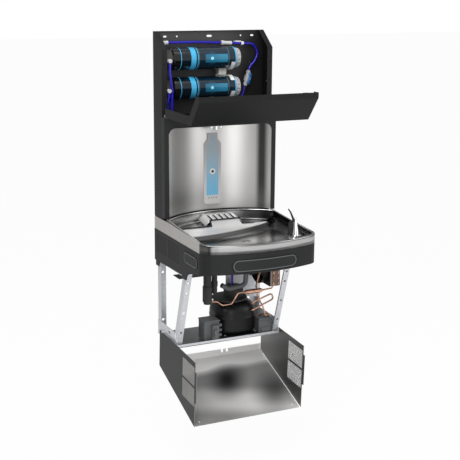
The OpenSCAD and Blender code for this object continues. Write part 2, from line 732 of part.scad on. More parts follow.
// Walls of the bowls lean inwards by the taper from top to bottom
module front_bowl(grow) difference() {
    hull() {
        translate([0, 0, rim_rear]) linear_extrude(over) deck_2d(bowl_inset - grow, $fn = 32);
        translate([0, 0, front_floor - grow]) linear_extrude(over)
            deck_2d(bowl_inset + bowl_taper * 3 - grow, $fn = 32);
    }
    translate([ridge_at.x, ridge_at.y, front_floor - 2 * over - grow])
        cylinder(r1 = ridge_r + 2 * bowl_taper - grow, r2 = ridge_r - 2 * bowl_taper - grow,
            h = (rim_rear - front_floor) * 4 / 3, $fn = 360);
}
tab_x = [-44, 92];
tab_y = 123;
module rear_bowl(grow) difference() {
    deep = rim_rear - rear_floor;
    intersection() {
        translate([0, liner_cy, rear_floor - grow])
            cylinder(r1 = liner_r - rear_bowl_inset - rear_taper + grow,
            r2 = liner_r - rear_bowl_inset + grow, h = deep + grow, $fn = 180);
        across(-station_w, 2 * station_w) polygon([[0, rear_floor - grow],
            [bowl_taper - rear_bowl_front - grow, rear_floor - grow],
            [-rear_bowl_front - bowl_taper - grow, rim_rear], [0, rim_rear]]);
        facing(0, station_d) polygon([[-rear_bowl_half + bowl_taper - grow, rear_floor - grow],
            [rear_bowl_half - bowl_taper + grow, rear_floor - grow],
            [rear_bowl_half + bowl_taper + grow, rim_rear], [-rear_bowl_half - bowl_taper - grow,
                rim_rear]]);
    }
    // Tab of the ridge that runs back to the strainer
    block([tab_x[0] + grow, -station_d, 0], [tab_x[1] - grow, -tab_y - grow, rim_rear + over]);
}
module bowls(grow) {
    // Shallow recess inside the rim
    intersection() {
        translate([0, 0, band_z - 2 * bowl_drop]) linear_extrude(rim_rear) deck_plan(rim_w - grow);
        translate([0, 0, -ridge_drop - grow]) difference() {
            block([-station_w, -station_d, band_z], [station_w, 0, rim_rear + ridge_drop + 2 * over]);
            below_rim(0);
        }
    }
    front_bowl(grow);
    rear_bowl(grow);
}
tail_len = 28;
tail_wall = 2.5;
module basin() color("#b9b8b6") difference() {
    union() {
        difference() {
            intersection() {
                translate([0, 0, band_z]) linear_extrude(rim_rear - band_z) deck_plan(0);
                below_rim(0);
            }
            // Underside hollow inside the band
            intersection() {
                translate([0, 0, band_z - over]) linear_extrude(rim_rear) deck_plan(basin_t);
                below_rim(basin_t);
            }
        }
        intersection() {
            bowls(basin_t);
            below_rim(basin_t / 2);
        }
        // Waste tail
        rod_z([0, -drain_y, front_floor - tail_len], waste_r + tail_wall, tail_len);
    }
    difference() {
        bowls(0);
        rod_z([bubbler_x, -bubbler_y, band_z], bubbler_r + 2 * over, boss_z - band_z);
    }
    rod_z([0, -drain_y, front_floor - tail_len - over], waste_r, tail_len + 4 * bowl_drop);
    // Room for the end caps
    both_sides() block([half_s - cap_t - gap, basin_front - gap, 0], [station_w, over, cabinet_top]);
}
boss_z = rim_front - over;

// Strainer that the bottle stands on
strainer_w = 124;
strainer_wing = 24;
strainer_drop = 15;
strainer_len = 58;
strainer_front = 121;
strainer_t = 2;
strainer_z = 322;
strainer_tilt = 14;
strainer_slots = 5;
strainer_pitch = 21;
leg_w = 6;
module strainer() color("#e8e8e6") translate([0, -strainer_front, strainer_z]) {
    rotate([strainer_tilt, 0, 0]) difference() {
        translate([0, strainer_len, 0]) rotate([90, 0, 0]) linear_extrude(strainer_len) polygon([
            [-strainer_w / 2 - strainer_wing, -strainer_drop], [-strainer_w / 2, 0], [strainer_w / 2, 0],
            [strainer_w / 2 + strainer_wing, -strainer_drop],
            [strainer_w / 2 + strainer_wing, -strainer_drop - strainer_t],
            [strainer_w / 2 - over / 2, -strainer_t], [-strainer_w / 2 + over / 2, -strainer_t],
            [-strainer_w / 2 - strainer_wing, -strainer_drop - strainer_t]]);
        for (i = [0 : strainer_slots - 1]) translate([(i - (strainer_slots - 1) / 2) * strainer_pitch,
            strainer_len / 2, -2 * strainer_t]) rotate(90) linear_extrude(3 * strainer_t)
            slot_2d(strainer_len - strainer_wing / 2, strainer_t * 1.5);
    }
    // Legs that stand on the floor of the rear bowl
    for (x = [-strainer_w / 2 + leg_w, strainer_w / 2 - 2 * leg_w], y = [strainer_wing / 2,
        strainer_len - strainer_wing])
        block([x, y, rear_floor + gap - strainer_z], [x + leg_w, y + leg_w,
            (y + leg_w) * tan(strainer_tilt) - strainer_t / 2 - over / 2]);
}

// Light end caps along the sides of the basin
cap_shelf_share = 0.33;
cap_bottom = band_z - 2;
cap_shelf = 335;
cap_rear = sheet_t + gap;
module end_cap() color("#aaa7a4") across(-half_s, cap_t) polygon([[-cap_rear, cap_bottom],
    [-cap_rear, cap_shelf],
    [basin_front * cap_shelf_share, cap_shelf + sheet_t], [basin_front, rim_z(basin_front)],
    [basin_front, cap_bottom]]);
module end_cap_left() end_cap();
module end_cap_right() mirror([1, 0, 0]) end_cap();

// Louvred side panels with the side push pads
panel_out = half_s;
panel_in = panel_out - shell_t;
panel_top = cap_bottom - gap;
panel_front = -basin_front;
panel_rear = 158;
foot_drop = 12;
foot_y = 320;
foot_len = 30;
heel_drop = 20;
heel_y = 12;
heel_len = 28;
// Corner points of the stepped lower edge in front of the foot
knee = [[-361, 190], [-332, 177]];
function panel_outline() = [[0, panel_top], [-panel_front, panel_top], [-panel_front,
    apron_z - heel_y / 2],
    knee[0], knee[1], [-foot_y, panel_z - foot_drop], [foot_len - foot_y, panel_z - foot_drop],
    [foot_len + foot_drop - foot_y, panel_z], [-heel_y - heel_len - foot_drop, panel_rear],
    [-heel_y - heel_len, panel_rear - heel_drop], [-heel_y, panel_rear - heel_drop],
    [-heel_y, panel_rear], [0, panel_rear]];
louvre_top = 262;
louvre_h = 3;
louvre_rear = 24;
louvre_len = 108;
louvre_rib = 12;
louvre_tilt = -50;
pad_y = 366;
pad_r = 20;
pad_gap = 0.6;
module pad_2d(g) round_rect(pad_w + 2 * g, pad_h + 2 * g, pad_r + g);
module louvre_panel() color("#2b2c2c") difference() {
    union() {
        across(-panel_out, shell_t) polygon(panel_outline());
        // Raised bead round the push pad
        across(-panel_out - over, shell_t) translate([-pad_y, bar_z]) pad_2d(3 * over);
    }
    for (c = [0, 1], i = [0 : louvre_rows - 1])
        translate([-panel_out - 2 * over, -louvre_rear - c * (louvre_len + louvre_rib) - louvre_len,
            louvre_top - i * louvre_pitch]) rotate([0, louvre_tilt, 0])
            cube([4 * shell_t, louvre_len, louvre_h]);
    across(-panel_out - 3 * over, shell_t + 6 * over) translate([-pad_y, bar_z]) pad_2d(pad_gap);
}
module louvre_panel_left() louvre_panel();
module louvre_panel_right() mirror([1, 0, 0]) louvre_panel();
pad_back = 5;
pad_proud = 1.5;
module side_push() color("#333536") {
    across(-panel_out - pad_proud, shell_t + pad_proud + gap) translate([-pad_y, bar_z]) pad_2d(0);
    across(-panel_in + gap, pad_back) translate([-pad_y, bar_z]) pad_2d(-3 * over);
}
module side_push_left() side_push();
module side_push_right() mirror([1, 0, 0]) side_push();

// Bowed front apron and its push bar
apron_top = band_z - gap;
module apron_wall(out, into) difference() {
    linear_extrude(apron_top - apron_z) difference() {
        deck_2d(out);
        deck_2d(into);
        translate([-station_w, basin_front - gap]) square([2 * station_w, station_d]);
    }
}
module bar_2d(g) translate([0, bar_z]) slot_2d(bar_len + 2 * g, bar_h / 2 + g);
module apron() color("#2f3030") difference() {
    union() {
        translate([0, 0, apron_z]) apron_wall(0, shell_t);
        // Bead round the push bar
        intersection() {
            translate([0, 0, apron_z]) apron_wall(-over, shell_t);
            facing(0, 2 * station_d) bar_2d(3 * over);
        }
    }
    facing(0, 2 * station_d) bar_2d(pad_gap);
}
bar_t = 9;
module front_push_bar() color("#343637") intersection() {
    translate([0, 0, apron_z]) apron_wall(-pad_proud, bar_t);
    facing(0, 2 * station_d) bar_2d(0);
}

// Bubbler: chrome body on a flange, dark mouth guard and spout
body_r = 15;
tip_r = 5;
bubbler_z = boss_z;
flange_h = 5;
module bubbler_body() color("#d4d6d8") translate([bubbler_x, -bubbler_y, bubbler_z]) {
    cylinder(r = bubbler_r, h = flange_h / 2);
    translate([0, 0, flange_h / 2]) cylinder(r1 = bubbler_r, r2 = body_r + 2 * over, h = flange_h / 2);
    translate([0, 0, flange_h]) cylinder(r1 = body_r, r2 = tip_r, h = bubbler_h - flange_h);
    translate([0, 0, bubbler_h]) sphere(tip_r);
}
guard_t = 8;
guard_w = 16;
guard_out = 32;
guard_rise = 44;
hood_r = 9;
hood_x = 19;
hood_h = 56;
module bubbler_guard() color("#141516") translate([bubbler_x, -bubbler_y, bubbler_z]) difference() {
    union() {
        // Mouth guard that leans over the stream
        facing_bar(guard_w) polygon([[-tip_r, bubbler_h - guard_t], [-tip_r, bubbler_h + tip_r],
            [-guard_out + guard_t / 2, bubbler_h + guard_rise], [-guard_out - guard_t / 3,
                bubbler_h + guard_rise - over],
            [-2 * tip_r - guard_t, bubbler_h - guard_t]]);
        // Spout beside the body
        translate([-hood_x, guard_w / 4, flange_h + gap]) {
            cylinder(r1 = hood_r + over, r2 = hood_r - 2 * over, h = hood_h - flange_h - gap);
            translate([0, 0, hood_h - flange_h - gap]) sphere(hood_r - 2 * over);
        }
        facing_bar(guard_w / 2) polygon([[-hood_x, hood_h / 2], [-hood_x, hood_h], [-tip_r, bubbler_h],
            [-tip_r, bubbler_h - guard_t], [-body_r + tip_r, hood_h / 2]]);
    }
    translate([0, 0, flange_h]) cylinder(r1 = body_r + gap, r2 = tip_r + gap, h = bubbler_h - flange_h);
    rod_z([0, 0, bubbler_h], tip_r + gap, tip_r * 2);
}
module facing_bar(w) translate([0, w / 2, 0]) rotate([90, 0, 0]) linear_extrude(w) children();

// Deck rails that carry the basin, apron and side panels
rail_h = 24;
rail_w = 21;
rail_front = -basin_front - 2;
rail_x = panel_in - gap;
rail_top = cap_bottom - 2 * gap;
module deck_rails() color("#cfd1d2") {
    both_sides() difference() {
        block([-rail_x, -rail_front, rail_top - rail_h], [-rail_x + rail_w, 0, rail_top]);
        block([-rail_x + sheet_t, -rail_front - over, rail_top - rail_h + sheet_t],
            [-rail_x + rail_w + over, over, rail_top - sheet_t]);
        // Window behind the push pad
        across(-rail_x - over, 2 * sheet_t + push_travel + over) translate([-pad_y, bar_z])
            pad_2d(pad_gap);
    }
    // Cross rails
    block([sheet_t / 2 - rail_x, -2 * sheet_t, rail_top - rail_h], [rail_x - sheet_t / 2, -sheet_t,
        rail_top]);
    block([sheet_t / 2 - rail_x, -rail_front, rail_top - rail_h / 2],
        [rail_x - sheet_t / 2, -rail_front + sheet_t, rail_top]);
}

// Upright rear posts, bolted to the wall, and the rails between the posts
half_f = frame_w / 2;
rear_flange = 34;
rear_depth = 30;
post_top = rail_top - rail_h - gap;
side_rail_z = 150;
side_rail_h = 26;
post_foot_y = 197;
post_foot_z = -135;
function post_y(z) = -post_foot_y - (z - post_foot_z) * tan(post_lean);
module frame_posts() color("#d9dbdd") {
    both_sides() difference() {
        union() {
            block([-half_f, -rear_depth, pan_z + 2 * sheet_t], [sheet_t - half_f, 0, post_top]);
            block([-half_f, -sheet_t, pan_z + 2 * sheet_t], [rear_flange - half_f, 0, post_top]);
            // Side rail at the foot of the louvred panel
            block([sheet_t + gap - half_f, post_y(side_rail_z + side_rail_h) + sheet_t + post_d,
                side_rail_z],
                [2 * sheet_t + gap - half_f, -sheet_t, side_rail_z + side_rail_h]);
            block([sheet_t + gap - half_f, post_y(side_rail_z + side_rail_h) + sheet_t + post_d,
                side_rail_z],
                [rail_w / 3 - half_f, -sheet_t, side_rail_z + sheet_t]);
            block([sheet_t / 2 - half_f, -rear_depth, side_rail_z], [2 * sheet_t - half_f, -sheet_t / 2,
                side_rail_z + side_rail_h]);
        }
        for (s = [-1, 1]) rod_y([-bolt_w / 2, over, s * bolt_h / 2], bolt_r, sheet_t + 2 * over);
    }
    // Rear cross rail
    block([rear_flange - half_f - sheet_t, -sheet_t - rail_w, side_rail_z + side_rail_h],
        [half_f - rear_flange + sheet_t, 0, side_rail_z + side_rail_h + sheet_t]);
    block([rear_flange - half_f - sheet_t, -sheet_t * 2, side_rail_z], [half_f - rear_flange + sheet_t,
        -sheet_t, side_rail_z + side_rail_h]);
}

// Slanted front posts with a row of holes in the face
post_pitch = 88;
post_hole_r = 4;
post_hole_z = [-90, -2, 86, 130];
module front_post() {
    foot = [post_y(pan_top), pan_top];
    head = [post_y(post_top), post_top];
    difference() {
        union() {
            across(-half_f, sheet_t) polygon([foot, head, head + [post_d, 0], foot + [post_d, 0]]);
            across(-half_f, post_w) polygon([foot, head, head + [sheet_t, 0], foot + [sheet_t, 0]]);
            // Inner lip that stiffens the face
            across(post_w - sheet_t - half_f, sheet_t) polygon([foot, head, head + [post_d / 4, 0],
                foot + [post_d / 4, 0]]);
        }
        for (z = post_hole_z) translate([-half_f + post_w / 2, post_y(z), z]) rotate([90 - post_lean, 0,
            0])
            rod_z([0, 0, -3 * over - sheet_t], post_hole_r, 6 * over + 2 * sheet_t);
    }
}
pan_top = pan_z + sheet_t + gap;
module front_posts() color("#dfe1e4") {
    both_sides() front_post();
    // Front cross rail behind the apron
    y = post_y(post_top - rail_h);
    block([-half_f + post_w, y + 2 * sheet_t, post_top - rail_h], [half_f - post_w, y + 3 * sheet_t,
        post_top]);
    both_sides() block([-half_f + post_w - 2 * sheet_t, y + sheet_t, post_top - rail_h],
        [-half_f + post_w + 2 * sheet_t, y + 3 * sheet_t, post_top - rail_h / 2]);
}

// Base pan with its side plates and shroud pins
pan_side = 59;
pan_lip = 12;
shroud_pin_r = 4;
shroud_hinge = [-62, -132];
grommet_r = 10;
grommet_rim = 3.5;
grommet = [-121, -111];
module base_pan() color("#c4c6c8") {
    difference() {
        union() {
            block([-half_f, -pan_d, pan_z], [half_f, 0, pan_z + sheet_t]);
            block([-half_f, -pan_d, pan_z], [half_f, sheet_t - pan_d, pan_z + pan_lip]);
            both_sides() across(-half_f - sheet_t - gap, sheet_t)
                polygon([[0, pan_z], [0, pan_z + pan_side],
                [-pan_d + post_d, pan_z + pan_side], [-pan_d, pan_z + pan_lip], [-pan_d, pan_z]]);
            both_sides() block([-half_f - sheet_t - gap, -pan_d, pan_z], [-half_f + sheet_t, 0,
                pan_z + sheet_t]);
            // Rolled rim of the grommet hole
            both_sides() across(-half_f - 2 * sheet_t - gap, 2 * sheet_t) translate(grommet)
                circle(grommet_r + grommet_rim);
            both_sides() across(-half_f - sheet_t - gap - over, sheet_t + over) translate(shroud_hinge)
                circle(2 * shroud_pin_r);
        }
        both_sides() across(-half_f - 3 * sheet_t - over, 5 * sheet_t) translate(grommet)
            circle(grommet_r);
        // Slots under the compressor feet
        for (p = feet) rod_z([p.x, -p.y, pan_z - over], stud_r + run, sheet_t + 2 * over);
    }
    both_sides() rod_x([-shroud_w / 2 - over, shroud_hinge.x, shroud_hinge.y], shroud_pin_r,
        shroud_w / 2 + over - half_f - gap);
}

// Stepped plate behind the compressor that carries the condenser and the fan
plate_y = 60;
plate_left = 50;
plate_step = 126;
plate_right = 205;
plate_z = 30;
plate_low = -36;
module component_plate() color("#c9cccf") {
    facing(sheet_t - plate_y, sheet_t) polygon([[plate_left, plate_z], [plate_step, plate_z],
        [plate_step, plate_low + rail_w / 2], [plate_right, plate_low], [plate_right,
            side_rail_z + gap + side_rail_h],
        [plate_left, side_rail_z + side_rail_h + gap]]);
    // Top flange bolted to the rear cross rail
    block([plate_left, -plate_y, side_rail_z + side_rail_h + sheet_t + gap],
        [plate_right, -sheet_t, side_rail_z + side_rail_h + 2 * sheet_t + gap]);
    block([plate_left, -plate_y, side_rail_z + side_rail_h - sheet_t],
        [plate_right, sheet_t - plate_y, side_rail_z + side_rail_h + 2 * sheet_t + gap]);
}

// Hermetic compressor
stud_r = 4;
foot_r = 9;
foot_dx = 68;
foot_dy = 76;
foot_h = 9;
feet = [for (sx = [-1, 1], sy = [-1, 1]) [compressor_x + sx * foot_dx, compressor_y + sy * foot_dy]];
shell_z = pan_z + sheet_t + foot_h;
shell_h = 134;
shell_dome = 46;
flat_share = 0.9;
module compressor() color("#1f2022") translate([compressor_x, -compressor_y, shell_z]) {
    r = compressor_r;
    h = shell_h;
    d = shell_dome;
    intersection() {
        rotate_extrude($fn = 96) difference() {
            union() {
                translate([0, d / 3]) square([r, h - d]);
                translate([0, d / 3]) scale([1, 1]) square([r - d / 3, 1]);
                translate([r - d / 3, d / 3]) circle(d / 3);
                square([r - d / 3, d / 3 + over]);
                translate([r - d, h - d]) intersection() { circle(d); square(2 * d); }
                translate([0, h - d]) square([r - d, d]);
            }
            translate([-2 * r, -r]) square([2 * r, 4 * r]);
        }
        // Flats on the shell's four sides
        block([over - r, -r * flat_share, -over], [r - over, r * flat_share, h + over]);
    }
    // Weld seam
    translate([0, 0, h / 2]) intersection() {
        difference() {
        block([-r, -r * flat_share - over, 0], [r, r * flat_share + over, 2 * over]);
        block([2 * over - r, over - r * flat_share, -over], [r - 2 * over, r * flat_share - over,
            3 * over]);
        }
        cylinder(r = r + over, h = 2 * over, $fn = 96);
    }
    // Feet: mounting plate, rubber bushes and studs
    translate([0, 0, 0]) for (p = feet) translate([p.x - compressor_x, compressor_y - p.y, 0]) {
        rod_z([0, 0, -foot_h], foot_r, foot_h);
        cylinder(r = foot_r + over, h = 3 * over);
        rod_z([0, 0, -foot_h - sheet_t], stud_r, foot_h + 8 * over);
    }
    block([-foot_dx, -foot_dy - foot_r, 0], [foot_dx, foot_dy + foot_r, 2 * over]);
}
cap_x = 44;
cap_y = 108;
disc_r = 72;
disc_h = 9;
neck_x = 62;
neck_cap_r = 40;
neck_top = 42;
disc_z = shell_z + shell_h + gap;
module compressor_cap() color("#18191b") {
    translate([cap_x, -cap_y, disc_z]) {
        cylinder(r1 = disc_r - disc_h / 2, r2 = disc_r, h = disc_h / 3, $fn = 72);
        rod_z([0, 0, disc_h / 3], disc_r, disc_h / 3, 72);
        translate([0, 0, 2 * disc_h / 3]) cylinder(r1 = disc_r, r2 = disc_r - disc_h / 2,
            h = disc_h / 3, $fn = 72);
    }
    translate([neck_x, -cap_y, disc_z + disc_h]) {
        cylinder(r = neck_cap_r, h = neck_top - disc_z - disc_h - disc_h / 2);
        translate([0, 0, neck_top - disc_z - disc_h - disc_h / 2])
            cylinder(r1 = neck_cap_r, r2 = neck_cap_r - disc_h / 2, h = disc_h / 2);
    }
}

relay_lo = [-100, -186, -148];
relay_hi = [-37, -128, -68];
plug_in = 6;
plug_w = 28;
plug_d = 16;
tip_w = 14;
tip_d = 10;
pin_h = 10;
module relay_box() color("#4a4c4e") {
    block(relay_lo, relay_hi);
    // Stepped terminal block on the front
    block([relay_hi.x - plug_in - plug_w, relay_lo.y - plug_d, relay_lo.z + plug_in],
        [relay_hi.x - plug_in, relay_lo.y, relay_hi.z - plug_d]);
    block([relay_hi.x - plug_in - tip_d - tip_w, relay_lo.y - plug_d - tip_d, relay_lo.z + plug_d],
        [relay_hi.x - plug_in - tip_d, relay_lo.y, relay_hi.z - 2 * plug_d]);
    for (i = [0 : 2]) block([relay_hi.x - plug_in, relay_lo.y - plug_in,
        relay_lo.z + tip_w + 2 * i * pin_h],
        [relay_hi.x + pin_h, relay_lo.y + tip_w, relay_lo.z + tip_w + (2 * i + 1) * pin_h]);
    // Foot on the pan and the lid's edge
    block([relay_lo.x + pin_h, relay_lo.y + pin_h, pan_z + sheet_t],
        [relay_hi.x - pin_h, relay_hi.y - pin_h, relay_lo.z]);
    block([relay_lo.x - gap, relay_lo.y - plug_in / 2, relay_hi.z - plug_in],
        [relay_hi.x + plug_in / 2, relay_hi.y + plug_in / 2, relay_hi.z]);
}
control_lo = [139, -190, -148];
control_hi = [196, -153, -86];
lid_lap = 2;
lid_h = 4;
bracket_out = 5;
module control_box() color("#2a2b2d") {
    block(control_lo, control_hi);
    // Lid edge
    block([control_lo.x - lid_lap, control_lo.y - lid_lap, control_hi.z - 3 * lid_h],
        [control_hi.x + lid_lap, control_hi.y + lid_lap, control_hi.z - 2 * lid_h]);
    // Bracket feet on the pan
    block([control_lo.x - lid_lap, control_lo.y - bracket_out, pan_z + sheet_t],
        [control_hi.x, control_hi.y, control_lo.z]);
    block([control_lo.x + 2 * lid_h, control_lo.y - bracket_out, control_lo.z],
        [control_hi.x - 2 * lid_h, control_lo.y, control_lo.z + rail_h]);
}

// Condenser, fan and copper work
cond_x = 170;
cond_w = 42;
cond_rear = 68;
cond_d = 158;
cond_z = 56;
cond_h = 118;
fin_n = 16;
fin_t = 1.2;
core_t = 4;
module condenser() color("#9a8f86") {
    // End plates, spine and fins
    for (z = [cond_z, cond_z + cond_h - core_t]) block([cond_x, -cond_rear - cond_d, z],
        [cond_x + cond_w, -cond_rear, z + core_t]);
    block([cond_x + cond_w / 3, -cond_rear - cond_d + core_t, cond_z], [cond_x + 2 * cond_w / 3,
        -cond_rear - core_t, cond_z + cond_h]);
    for (i = [0 : fin_n - 1]) translate([cond_x,
        -cond_rear - cond_d + i * (cond_d - fin_t) / (fin_n - 1), cond_z])
        cube([cond_w, fin_t, cond_h]);
    block([cond_x, -cond_rear, cond_z], [cond_x + cond_w, sheet_t - plate_y - sheet_t - gap,
        cond_z + core_t]);
    block([cond_x, -cond_rear, cond_z + cond_h - core_t], [cond_x + cond_w, -plate_y - gap,
        cond_z + cond_h]);
}
copper_r = 3.2;
bend_rows = 5;
bend_r = 10;
module condenser_tubes() color("#c08a72") for (c = [0, 1], i = [0 : bend_rows - 1])
    translate([cond_x + cond_w / 4 + c * cond_w / 2, -cond_rear - cond_d - gap,
        cond_z + bend_r + copper_r + 2 * i * (bend_r + fin_t)])
        rotate([0, 90, 180]) rotate_extrude(angle = 180, $fn = 32)
            translate([bend_r - copper_r, 0]) circle(copper_r, $fn = 24);
shroud_hole = fan_r + 2;
fan_y = 148;
fan_z = 118;
fan_plate_x = cond_x - gap;
module fan_shroud() color("#3a3b3d") {
    difference() {
        union() {
            block([fan_plate_x - 2 * sheet_t, -cond_rear - cond_d, cond_z], [fan_plate_x, -cond_rear,
                cond_z + cond_h]);
            rod_x([fan_plate_x - motor_set, -fan_y, fan_z], shroud_hole + 2 * over, motor_set, 72);
        }
        rod_x([fan_plate_x - 2 * motor_set, -fan_y, fan_z], shroud_hole, 3 * motor_set, 72);
    }
    // Motor bracket: a bar across the ring
    difference() {
        union() {
            block([fan_plate_x - motor_set - 2 * sheet_t, -fan_y - shroud_hole - over,
                fan_z - motor_r / 2],
                [fan_plate_x - motor_set, -fan_y + shroud_hole + over, fan_z + motor_r / 2]);
            for (s = [-1, 1]) block([fan_plate_x - motor_set - 2 * sheet_t,
                -fan_y + s * (shroud_hole + over) - over, fan_z - motor_r / 2],
                [fan_plate_x - motor_set + 2 * over, -fan_y + s * (shroud_hole + over) + over,
                    fan_z + motor_r / 2]);
        }
        rod_x([fan_plate_x - 2 * motor_set, -fan_y, fan_z], shaft_r + 2 * over, 3 * motor_set);
    }
}
motor_set = 22;
motor_r = 27;
motor_len = 34;
shaft_r = 3;
hub_fan_r = 14;
fan_back = 4;
module fan_motor() color("#1b1c1e") translate([fan_plate_x - motor_set - 2 * sheet_t, -fan_y, fan_z])
    rotate([0, 90, 0]) {
    translate([0, 0, -motor_len]) {
        cylinder(r1 = motor_r - 4 * over, r2 = motor_r, h = 4 * over);
        rod_z([0, 0, 4 * over], motor_r, motor_len - 4 * over);
    }
    cylinder(r = shaft_r, h = motor_set - fan_back);
}
module fan_blade() color("#8d9196") translate([fan_plate_x - motor_set + fan_back, -fan_y, fan_z])
    rotate([0, 90, 0]) difference() {
    union() {
        cylinder(r = hub_fan_r, h = motor_set - 2 * fan_back);
        intersection() {
            for (i = [0 : fan_blades - 1]) rotate(i * 360 / fan_blades)
                translate([0, 0, motor_set / 2 - fan_back])
                rotate([28, 0, 0]) translate([0, -hub_fan_r * 1.2, -sheet_t / 2])
                    cube([2 * fan_r, hub_fan_r * 2.4, sheet_t]);
            cylinder(r = fan_r, h = motor_set - 2 * fan_back, $fn = 72);
        }
    }
    rod_z([0, 0, -over], shaft_r + run, motor_set - 2 * fan_back);
}

// Copper lines: corner points chosen by hand
copper_bend = 9;
drier_from = [70, -190, 34];
drier_to = [153, -190, 34];
drier_lead = [[-68.7, -178, 9], [-42, -180, 6], [-24, -192, -8], [16, -192, -6], [44, -190, 34],
    [66, -190, 34]];
drier_tail = [[157.5, -190, 34], [196, -194, 38], [196, -194, 55.7]];
hairpin = [[104, -185, -46], [106, -194, -44], [200, -194, -8], [192, -194, 16], [110, -192, -12],
    [110, -186, -24],
    [109, -169, -23]];
riser = [[191, -226.3, 165], [191, -242, 165], [140, -240, 165], [134, -197, 104], [134, -170, 50],
    [142, -170, 0], [160, -182, -40], [172, -182, -79], [198, -180, -80], [196, -136, -84],
    [170, -116, -100], [148.3, -116, -104]];
module copper_lines() color("#c08a72") {
    tube(drier_lead, copper_r, copper_bend, 8, 3);
    tube(drier_tail, copper_r, copper_bend, 8, 3);
    tube(hairpin, copper_r, copper_bend, 8, 3);
    tube(riser, copper_r, copper_bend, 8, 3);
}
drier_r = 9;
drier_neck = 4;
module filter_drier() color("#c79479") translate(drier_from) rotate([0, 90, 0]) {
    len = drier_to.x - drier_from.x;
    cylinder(r1 = copper_r + over, r2 = drier_r, h = drier_neck * 2);
    rod_z([0, 0, drier_neck * 2], drier_r, len - 4 * drier_neck);
    translate([0, 0, len - 2 * drier_neck]) cylinder(r1 = drier_r, r2 = copper_r + over,
        h = drier_neck * 2);
    rod_z([0, 0, -drier_neck], copper_r + over, drier_neck);
    rod_z([0, 0, len], copper_r + over, drier_neck);
}

// Drain hose from the waste tail, bent into a trap
hose_r = 10;
hose_bend = 20;
hose_end = [-24, -181, 72];
hose_wall = 2.5;
nut_h = 18;
nut_lap = 10;
nut_wall = 3;
nut_z = front_floor - tail_len - gap;
hose_run = [[0, -drain_y, nut_z - nut_h + nut_lap], [0, -drain_y, 225], [20, -262, 221], [80, -190, 150],
    [80, -182, 62], [6, -180, 54], hose_end];
module drain_hose() color("#1c1d1f") {
    difference() {
        tube(hose_run, hose_r, hose_bend, 12, 5);
        fitting(hose_end + 2 * over * unit(hose_end - hose_run[5]),
            hose_end - hose_r * 2 * unit(hose_end - hose_run[5]),
            hose_r - hose_wall);
    }
    translate([0, -drain_y, nut_z - nut_h + nut_lap]) difference() {
        cylinder(r = waste_r + tail_wall + gap + nut_wall, h = nut_h);
        rod_z([0, 0, nut_h - nut_lap], waste_r + tail_wall + gap, nut_h);
    }
}

// Black valve bodies hung from a bracket on the left post
valve_bracket_z = 128;
hanger_x = -218;
hanger_y = 214;
hanger_rear = 150;
big_valve = [-84, -178];
small_valve = [-50, -170];
big_r = 19;
small_r = 11;
big_z = 2;
big_step = 10;
big_h = 62;
small_z = 40;
small_step = 30;
small_h = 18;
module water_valves() color("#17181a") {
    translate([big_valve.x, big_valve.y, 0]) {
        rod_z([0, 0, big_z], big_r - 4 * over, big_step + over);
        rod_z([0, 0, big_z + big_step], big_r, big_h);
        rod_z([0, 0, big_z + big_step + big_h], big_r - 3 * over,
            valve_bracket_z + over / 2 - big_z - big_step - big_h);
    }
    translate([small_valve.x, small_valve.y, small_z]) {
        cylinder(r = small_r, h = valve_bracket_z - small_z + over / 2);
        rod_z([0, 0, small_step], small_r + 2 * over, small_h);
    }
    // Galvanised hanger from the left post
    hanger_to = small_valve.x + big_r;
    difference() {
        block([hanger_x, -hanger_y, valve_bracket_z], [hanger_to, -hanger_rear,
            valve_bracket_z + sheet_t]);
        for (v = [big_valve, small_valve]) rod_z([v.x, v.y, valve_bracket_z - over], tube_r + gap,
            sheet_t + 2 * over);
    }
    block([hanger_x, -hanger_y, valve_bracket_z], [hanger_to, sheet_t - hanger_y, side_rail_z - gap]);
}

// Lower shroud
shroud_half = shroud_w / 2;
shroud_rear = -58;
shroud_z = -158;
tab_h = 12;
tab_from = 37;
tab_to = 162;
bottom_lip = 28;
vent_h = 116;
vent_w = 76;
vent_rib = 9;
vent_low = 85;
vent_rear = 80;
seam_w = 9;
function shroud_side() = [[shroud_rear, shroud_z], [shroud_rear, shroud_z + shroud_h],
    [shroud_rear - tab_from, shroud_z + shroud_h], [shroud_rear - tab_from, shroud_z + shroud_h + tab_h],
    [shroud_rear - tab_to, shroud_z + shroud_h + tab_h], [shroud_rear - tab_to, shroud_z + shroud_h],
    [shroud_rear - shroud_head, shroud_z + shroud_h], [shroud_rear - shroud_foot, shroud_z]];
front_slope = unit([shroud_head - shroud_foot, shroud_h]);
function front_strip(a, b) = let (n = [front_slope.y, front_slope.x],
        foot = [shroud_rear - shroud_foot, shroud_z], head = [shroud_rear - shroud_head,
            shroud_z + shroud_h])
    [foot + [a / n.x, 0], head + [a / n.x, 0], head + [b / n.x, 0], foot + [b / n.x, 0]];
lip_notch = 10;
lip_notch_x = [44, 66];
